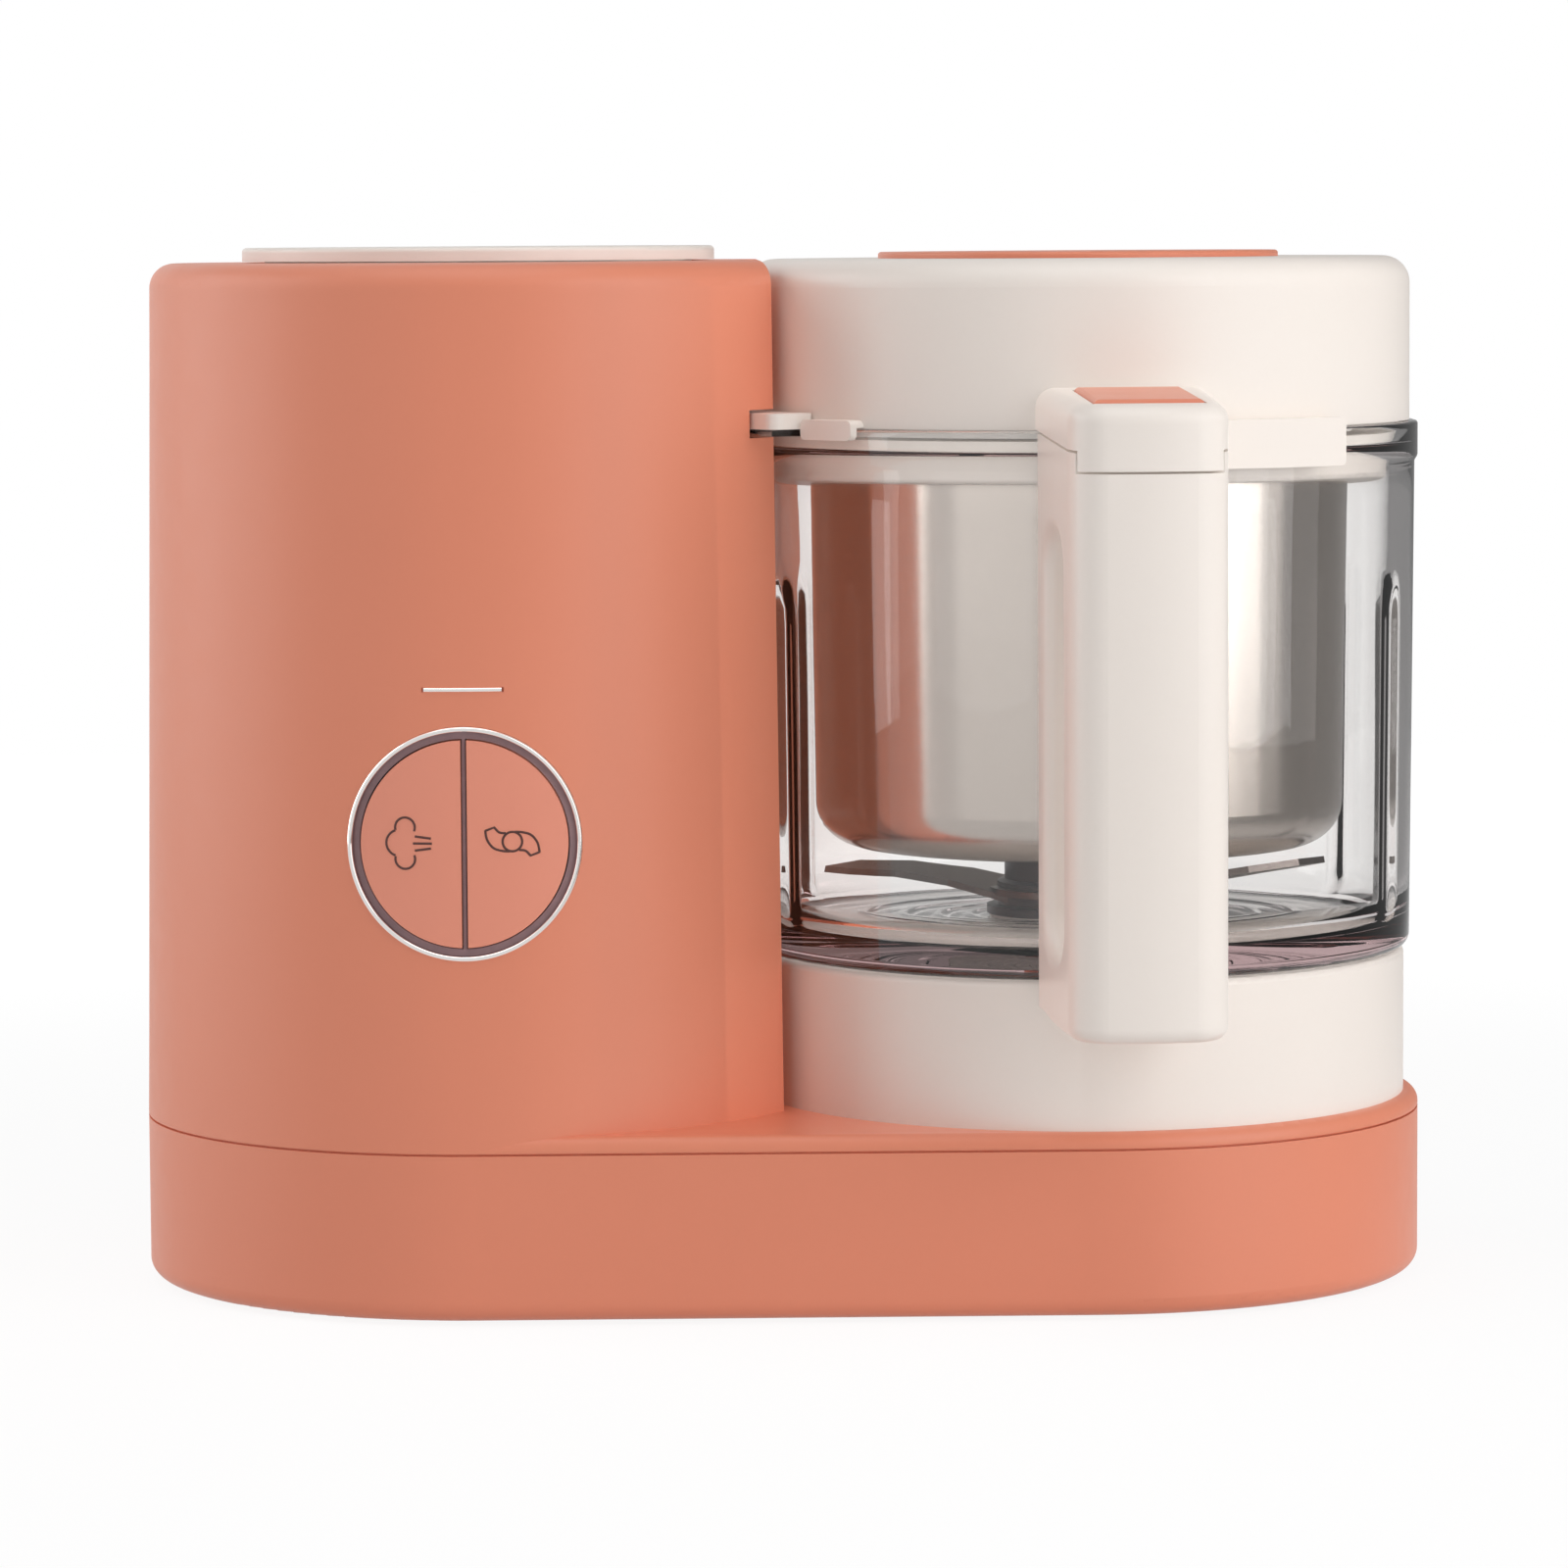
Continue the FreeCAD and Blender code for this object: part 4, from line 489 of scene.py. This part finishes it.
def copies(name, pattern, points, slot):
    """A mesh with the pattern object set on every point."""
    inputs = [("Points", "NodeSocketGeometry"), ("Pattern", "NodeSocketObject"),
              ("Finish", "NodeSocketMaterial"), ("Size", "NodeSocketFloat")]
    tree, bench, wires = new_tree(name, inputs)
    shape = bench.add("GeometryNodeObjectInfo", values={"Object": wires["Pattern"]}, out=4)
    placed = bench.add("GeometryNodeInstanceOnPoints", values={
        "Points": wires["Points"], "Instance": shape, "Scale": wires["Size"]})
    real = bench.add("GeometryNodeRealizeInstances", values={"Geometry": placed})
    painted = bench.add("GeometryNodeSetMaterial", values={
        "Geometry": real, "Material": wires["Finish"]})
    close_tree(bench, painted)
    carrier = carrier_of(name, points)
    run_tree(carrier, tree, {"Pattern": pattern, "Finish": finishes[slot], "Size": 1.0})
    mesh = plain_mesh(carrier, name)
    bpy.data.objects.remove(pattern)
    return mesh


print("copies on points ready")

# %% [markdown]
# The screw is turned from its outline: a pan head, a plain neck and a rolled thread. Its cross
# recess is pressed into the head, so it is cut out of the round face and sunk.

# %% Draw the screw
HEAD_RADIUS, HEAD_DROP = 3.6, 2.4
SHANK_RADIUS, SHANK_LENGTH = 2.0, 16.0
THREAD_PITCH = 1.0
CROSS_REACH, CROSS_HALF, CROSS_SINK, CROSS_TAPER = 2.0, 0.42, 1.2, 0.7
SCREW_SIDES = 24


def lathe(profile, steps):
    """Turns (radius, height) points about Z, open at both ends."""
    work = bmesh.new()
    rings = []
    for radius, z in profile:
        ring = []
        for i in range(steps):
            a = 2 * math.pi * i / steps
            x, y = radius * math.cos(a), radius * math.sin(a)
            ring.append(work.verts.new((x * MM, y * MM, z * MM)))
        rings.append(ring)
    for low, high in zip(rings, rings[1:]):
        for i in range(steps):
            k = (i + 1) % steps
            work.faces.new((low[i], low[k], high[k], high[i]))
    return work, rings


def pattern_of(work, name):
    """Turns the faces of a drawn shape outwards and makes it an object that a tree can copy."""
    bmesh.ops.recalc_face_normals(work, faces=work.faces)
    mesh = bpy.data.meshes.new(name)
    work.to_mesh(mesh)
    work.free()
    smooth(mesh, 40.0)
    pattern = bpy.data.objects.new(name, mesh)
    bpy.context.scene.collection.objects.link(pattern)
    return pattern


def screw_profile():
    points = [(HEAD_RADIUS - 0.5, -HEAD_DROP), (HEAD_RADIUS - 0.12, -HEAD_DROP + 0.25)]
    points += [(HEAD_RADIUS, -HEAD_DROP + 0.7), (HEAD_RADIUS, -0.15), (HEAD_RADIUS - 0.15, 0.0)]
    points += [(SHANK_RADIUS - 0.05, 0.0), (SHANK_RADIUS - 0.05, 2.0)]
    z = 2.2
    while z < SHANK_LENGTH - 1.6:
        points += [(SHANK_RADIUS - 0.55, z), (SHANK_RADIUS, z + THREAD_PITCH * 0.5)]
        z += THREAD_PITCH
    points += [(SHANK_RADIUS - 0.6, SHANK_LENGTH - 1.2), (0.25, SHANK_LENGTH)]
    return points


def cross_points():
    a, b = CROSS_HALF, CROSS_REACH
    return [(b, -a), (b, a), (a, a), (a, b), (-a, b), (-a, a),
            (-b, a), (-b, -a), (-a, -a), (-a, -b), (a, -b), (a, -a)]


def draw_screw():
    work, rings = lathe(screw_profile(), SCREW_SIDES)
    work.faces.new(rings[-1])
    rim = [work.verts.new((x * MM, y * MM, -HEAD_DROP * MM)) for x, y in cross_points()]
    sunk = (CROSS_SINK - HEAD_DROP) * MM
    floor = [work.verts.new((x * CROSS_TAPER * MM, y * CROSS_TAPER * MM, sunk))
             for x, y in cross_points()]
    count = len(rim)
    edges = [work.edges.new((rim[i], rim[(i + 1) % count])) for i in range(count)]
    ring_edges = [work.edges.get((rings[0][i], rings[0][(i + 1) % SCREW_SIDES]))
                  for i in range(SCREW_SIDES)]
    bmesh.ops.triangle_fill(work, use_beauty=True, edges=edges + ring_edges)
    inside = [face for face in work.faces if all(vert in rim for vert in face.verts)]
    bmesh.ops.delete(work, geom=inside, context="FACES_ONLY")
    for i in range(count):
        k = (i + 1) % count
        work.faces.new((rim[i], rim[k], floor[k], floor[i]))
    work.faces.new(floor)
    return pattern_of(work, "screw_pattern")


print("screw outline points:", len(screw_profile()))

# %% [markdown]
# The screws stand in three sets: under the tray, under the deck for the pedestal and under the
# motor bracket. The circles and seats are the sizes that the solids were built with.

# %% Set the screws
CASE_SEAT, DECK_SEAT, MOTOR_SEAT = 9.2, 37.2, 47.7
CASE_CIRCLE, DECK_CIRCLE, MOTOR_CIRCLE = 62.0, 64.5, 46.0
QUARTERS = (45, 135, 225, 315)


def spot(axis, radius, angle, seat):
    a = math.radians(angle)
    return (axis.x + radius * MM * math.cos(a), axis.y + radius * MM * math.sin(a), seat * MM)


screw_spots = [spot(tower, CASE_CIRCLE, angle, CASE_SEAT) for angle in (110, 180, 250)]
screw_spots += [spot(bowl, CASE_CIRCLE, angle, CASE_SEAT) for angle in (70, 0, 290)]
screw_spots += [spot(bowl, DECK_CIRCLE, angle, DECK_SEAT) for angle in QUARTERS]
screw_spots += [spot(bowl, MOTOR_CIRCLE, angle, MOTOR_SEAT) for angle in QUARTERS]
screw_mesh = copies("cross_head_screws", draw_screw(), screw_spots, "bright_steel")
settle("cross_head_screws", screw_mesh, "bright_steel", "base", "housing_screws")

# %% [markdown]
# Rubber feet are moulded with rings that grip the worktop. One foot is turned from its outline
# and copied to the four corners.

# %% Set the feet
FOOT_RADIUS, FOOT_TOP, FOOT_SPREAD = 9.0, 2.4, 36.0
FOOT_SIDES = 48


def foot_profile():
    points = [(0.02, 0.5)]
    for ring in (1.6, 3.9, 6.2):
        points += [(ring - 0.5, 0.5), (ring, 0.0), (ring + 1.2, 0.0), (ring + 1.6, 0.5)]
    points += [(FOOT_RADIUS - 0.8, 0.0), (FOOT_RADIUS - 0.2, 0.2), (FOOT_RADIUS, 0.7)]
    points += [(FOOT_RADIUS, FOOT_TOP), (0.02, FOOT_TOP)]
    return points


def draw_foot():
    work, rings = lathe(foot_profile(), FOOT_SIDES)
    work.faces.new(rings[-1])
    work.faces.new(reversed(rings[0]))
    return pattern_of(work, "foot_pattern")


foot_spots = []
for axis, side in ((tower, -1), (bowl, 1)):
    for front in (-1, 1):
        x, y = axis.x + side * FOOT_SPREAD * MM, axis.y + front * FOOT_SPREAD * MM
        foot_spots.append((x, y, 0.0))
foot_mesh = copies("ringed_feet", draw_foot(), foot_spots, "foot_rubber")
settle("ringed_feet", foot_mesh, "foot_rubber", "base", "rubber_feet")

# %% [markdown]
# Three things on the tower front are fine lines that follow its curved face: the plated ring round
# the buttons, the plated bar above it and the printed signs. One tree makes them all. It turns
# paths into curves, sweeps a round bead along them and joins the beads into one mesh.

# %% Sweep beads along the tower face
FACE_FOOT, FACE_FALL, FACE_LOW = 75.58, 2.98 / 188.4, 37.2
BEAD_SIDES = 12
SAME_POINT = 0.01


def on_face(x, rise, proud):
    """A point over the tower face, x beside the dial's middle and rise above it."""
    z = dial.z / MM + rise
    radius = FACE_FOOT - FACE_FALL * (z - FACE_LOW) + proud
    aside = (dial.x - tower.x) / MM + x
    depth = math.sqrt(radius * radius - aside * aside)
    return (tower.x + aside * MM, tower.y - depth * MM, z * MM)


def bead_mesh(name, paths, bead_radius, proud, finish):
    """Round beads along the paths; a path that ends where it starts is closed."""
    points, edges = [], []
    for path in paths:
        start = len(points)
        closed = math.dist(path[0], path[-1]) < SAME_POINT
        points += [on_face(x, rise, proud) for x, rise in (path[:-1] if closed else path)]
        edges += [(i, i + 1) for i in range(start, len(points) - 1)]
        if closed:
            edges.append((len(points) - 1, start))
    inputs = [("Paths", "NodeSocketGeometry"), ("Radius", "NodeSocketFloat"),
              ("Finish", "NodeSocketMaterial")]
    tree, bench, wires = new_tree(name, inputs)
    curve = bench.add("GeometryNodeMeshToCurve", values={"Mesh": wires["Paths"]})
    ring = bench.add("GeometryNodeCurvePrimitiveCircle", values={
        "Resolution": BEAD_SIDES, "Radius": wires["Radius"]})
    swept = bench.add("GeometryNodeCurveToMesh", values={
        "Curve": curve, "Profile Curve": ring, "Fill Caps": True})
    real = bench.add("GeometryNodeRealizeInstances", values={"Geometry": swept})
    painted = bench.add("GeometryNodeSetMaterial", values={
        "Geometry": real, "Material": wires["Finish"]})
    close_tree(bench, painted)
    carrier = carrier_of(name, points, edges)
    run_tree(carrier, tree, {"Radius": bead_radius * MM, "Finish": finish})
    mesh = plain_mesh(carrier, name)
    smooth(mesh, 60.0)
    return mesh


print("dial middle", tuple(round(v, 4) for v in dial))

# %% [markdown]
# The plated ring and bar are half-round on the real object: their middles sit in the face and only
# the crown stands proud. A bead that is half sunk shows the same bright line with dark edges.

# %% Set the plated ring and bar
RING_RADIUS, RING_BEAD, RING_PROUD = 24.37, 0.58, 0.12
BAR_RISE, BAR_HALF, BAR_BEAD, BAR_PROUD = 32.7, 8.2, 0.5, 0.05

ring_path = arc((0, 0), RING_RADIUS, 0, 360, 180)
plating = finishes["chrome_trim"]
ring_mesh = bead_mesh("plated_ring", [ring_path], RING_BEAD, RING_PROUD, plating)
settle("plated_ring", ring_mesh, "chrome_trim", "base", "control_ring")
bar_path = [(-BAR_HALF + 2 * BAR_HALF * i / 24, BAR_RISE) for i in range(25)]
bar_mesh = bead_mesh("plated_bar", [bar_path], BAR_BEAD, BAR_PROUD, plating)
settle("plated_bar", bar_mesh, "chrome_trim", "base", "accent_bar")

# %% [markdown]
# The two buttons carry printed line signs: a cloud with three strokes for steam, and a two-winged
# blade round a hub for blending. The beads are nearly all sunk, so that they read as a print.

# %% Print the signs
LINE_RADIUS = 0.26
PRINT_PROUD = 0.06
HUB = (10.2, 0.5)


def bend(points, steps=8):
    """A smooth path through the points."""
    padded = [points[0]] + points + [points[-1]]
    path = []
    for a, b, c, d in zip(padded, padded[1:], padded[2:], padded[3:]):
        for i in range(steps):
            t = i / steps
            path.append(tuple(
                0.5 * (2 * b[n] + (c[n] - a[n]) * t
                       + (2 * a[n] - 5 * b[n] + 4 * c[n] - d[n]) * t * t
                       + (3 * b[n] - a[n] - 3 * c[n] + d[n]) * t ** 3) for n in (0, 1)))
    return path + [points[-1]]


def print_sign(name, paths, body):
    mesh = bead_mesh(name, paths, LINE_RADIUS, PRINT_PROUD, finishes["sign_print"])
    piece = bpy.data.objects.new(name, mesh)
    bpy.context.scene.collection.objects.link(piece)
    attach(piece, body)
    print(name, "faces:", len(mesh.polygons), "rides on", body)


finishes["sign_print"] = moulded(
    "sign_print", light(68, 36, 31), light(80, 45, 39), 0.45, 2600.0)
cloud = [arc((-12.5, 3.6), 2.1, -22, 195, 20), arc((-13.7, 0.3), 2.8, 108, 252, 16),
         arc((-12.5, -3.1), 2.1, 165, 382, 20)]
strokes = [[(-10.4, 1.7), (-7.0, 1.25)], [(-10.8, 0.2), (-6.8, 0.2)],
           [(-10.4, -1.3), (-7.0, -0.85)]]
print_sign("steam_sign", cloud + strokes, "steam_key")
wing = bend([(-1.4, 1.8), (-2.75, 2.0), (-3.8, 3.05)]) + [(-5.7, 2.35)]
wing += bend([(-5.7, 2.35), (-5.3, 0.4), (-4.0, -1.3), (-2.1, -1.95), (-0.55, -2.05)])
left_wing = [(HUB[0] + x, HUB[1] + y) for x, y in wing]
right_wing = [(HUB[0] - x, HUB[1] - y) for x, y in wing]
print_sign("blade_sign", [arc(HUB, 2.06, 0, 360, 32), left_wing, right_wing], "blend_key")

# %% [markdown]
# The floor is plain and pale. Camera and glass rays see it almost white, and the little that is
# left of its own shading keeps the shadow under the feet. Far from the object it is all white, so
# that no horizon shows. Mirrors see it darker at the right, where the studio is darker.

# %% Lay the floor
FLOOR_REACH = 1.4
FLOOR_GLOW = 1.05
NEAR_WHITE, FAR_GAIN = 0.85, 0.15
MIRROR_FLOOR, MIRROR_FLOOR_DROP = 0.8, 0.52
ONE_TURN = 0.5
floor_finish = Finish("floor")
floor_finish.put(Base_Color=light(225, 225, 225), Roughness=0.9)


def fade(bench, value, start, end):
    """0 below start, 1 above end and smooth between them."""
    return bench.add("ShaderNodeMapRange", {"interpolation_type": "SMOOTHSTEP"},
                     {"Value": value, "From Min": start, "From Max": end})


def larger(bench, first, second):
    return bench.add("ShaderNodeMath", {"operation": "MAXIMUM"}, {0: first, 1: second})


def rays(bench):
    """Camera or glass rays, and rays that a mirror has turned, as 0 or 1."""
    path = bench.tree.nodes.new("ShaderNodeLightPath")
    camera, through, turns = [Wire(bench, path.outputs[name]) for name in
                              ("Is Camera Ray", "Is Transmission Ray", "Glossy Depth")]
    mirror = bench.add("ShaderNodeMath", {"operation": "GREATER_THAN"}, {0: turns, 1: ONE_TURN})
    return larger(bench, camera, through) * (1.0 - mirror), mirror


seen, mirrored = rays(floor_finish)
floor_x = floor_finish.add("ShaderNodeSeparateXYZ", values={0: floor_finish.coords})
distance = floor_finish.add("ShaderNodeVectorMath", {"operation": "LENGTH"},
                            {0: floor_finish.coords}, out=1)
whiteness = NEAR_WHITE + fade(floor_finish, distance, 0.3, 0.9) * FAR_GAIN
reflected = MIRROR_FLOOR - fade(floor_finish, floor_x, 0.15, 0.5) * MIRROR_FLOOR_DROP
glow = floor_finish.add("ShaderNodeEmission", values={
    "Color": seen * FLOOR_GLOW + mirrored * reflected, "Strength": 1.0})
shading = Wire(floor_finish, floor_finish.shader.outputs[0])
mixed = floor_finish.add("ShaderNodeMixShader", values={
    0: seen * whiteness + mirrored, 1: shading, 2: glow})
floor_finish.feed(floor_finish.tree.nodes["Material Output"].inputs["Surface"], mixed)

work = bmesh.new()
bmesh.ops.create_grid(work, x_segments=1, y_segments=1, size=FLOOR_REACH)
floor_mesh = bpy.data.meshes.new("floor")
work.to_mesh(floor_mesh)
work.free()
floor_mesh.materials.append(floor_finish.material)
floor = bpy.data.objects.new("floor", floor_mesh)
bpy.context.scene.collection.objects.link(floor)
print("floor laid, reach", FLOOR_REACH)

# %% [markdown]
# The world is a white room. Seen directly, or through glass, it is pure white. In mirrors the side
# behind the camera is a little darker, as a studio is, and so is the corner at the right and back.
# The room lights the object softly all round.

# %% Light the room
AMBIENT = 0.23
MIRROR_ROOM, FRONT_DROP, CORNER_DROP = 0.95, 0.15, 0.68
world = bpy.data.worlds.new("room")
bpy.context.scene.world = world
world.use_nodes = True
room = Bench(world.node_tree)
direction = room.add("ShaderNodeTexCoord", out=0)
split = world.node_tree.nodes.new("ShaderNodeSeparateXYZ")
room.feed(split.inputs[0], direction)
to_right, to_back = Wire(room, split.outputs[0]), Wire(room, split.outputs[1])
front = fade(room, to_back * -1.0, 0.25, 0.95)
dim = fade(room, to_right * 0.9 + to_back * 0.45, 0.2, 0.7)
seen, mirrored = rays(room)
in_mirrors = mirrored * (MIRROR_ROOM - front * FRONT_DROP - dim * CORNER_DROP)
brightness = larger(room, larger(room, seen, in_mirrors), AMBIENT * (1.0 - mirrored))
backdrop = world.node_tree.nodes["Background"]
backdrop.inputs["Strength"].default_value = 1.0
room.feed(backdrop.inputs["Color"], brightness)
print("room light", AMBIENT)

# %% [markdown]
# Tall soft boxes shape the round bodies: one at the right and one at the left, a little behind.
# They leave the front between them slightly darker. A small one above brightens the rims and the
# cap. The handle would throw the right box's shadow on the tower's flank, so fill boxes light the
# flank and the front. Fill boxes cast no shadow and show in no mirror.

# %% Hang the lamps
AIM = Vector((0.0, bowl.y, 0.115))


def soft_box(name, azimuth, elevation, distance, width, height, power, fill=False):
    """An area lamp that looks at the object, azimuth 0 at the camera and 90 at the right."""
    lamp = bpy.data.lights.new(name, "AREA")
    lamp.shape = "RECTANGLE"
    lamp.size = width
    lamp.size_y = height
    lamp.energy = power
    lamp.use_shadow = not fill
    holder = bpy.data.objects.new(name, lamp)
    holder.visible_glossy = not fill
    bpy.context.scene.collection.objects.link(holder)
    a, e = math.radians(azimuth), math.radians(elevation)
    away = Vector((math.sin(a) * math.cos(e), -math.cos(a) * math.cos(e), math.sin(e)))
    holder.location = AIM + away * distance
    holder.rotation_euler = (-away).to_track_quat("-Z", "Y").to_euler()
    print(name, "at", [round(v, 2) for v in holder.location])


soft_box("right_box", 47, 14, 1.3, 0.95, 1.5, 4.1)
soft_box("left_box", -92, 10, 1.2, 1.1, 1.5, 8.7)
soft_box("top_box", -20, 72, 1.3, 1.0, 1.0, 3.5)
soft_box("flank_fill", 55, 14, 1.3, 1.1, 1.5, 9.2, fill=True)
soft_box("side_fill", 72, 14, 1.3, 0.8, 1.5, 3.2, fill=True)
soft_box("front_fill", -35, 15, 1.3, 0.9, 1.2, 1.7, fill=True)

# %% [markdown]
# The camera stands where the photographer stood: almost straight in front, five degrees up and
# with a long lens. It is tipped by a third of a degree, as the picture is.

# %% Set the camera
LENS = 140.93
EYE = Vector((-0.0200, -1.3455, 0.2316))
TARGET = Vector((0.00053, 0.02043, 0.1088))
TIP = math.radians(0.368)

camera_data = bpy.data.cameras.new("camera")
camera_data.lens = LENS
camera_data.sensor_width = 36.0
camera = bpy.data.objects.new("camera", camera_data)
bpy.context.scene.collection.objects.link(camera)
forward = (TARGET - EYE).normalized()
level = forward.cross(Vector((0, 0, 1))).normalized()
above = level.cross(forward)
right = level * math.cos(TIP) - above * math.sin(TIP)
up = above * math.cos(TIP) + level * math.sin(TIP)
turn = Matrix((right, up, -forward)).transposed().to_4x4()
camera.matrix_world = Matrix.Translation(EYE) @ turn
bpy.context.scene.camera = camera
bpy.context.scene.view_settings.view_transform = "Standard"
print("camera lens", LENS)
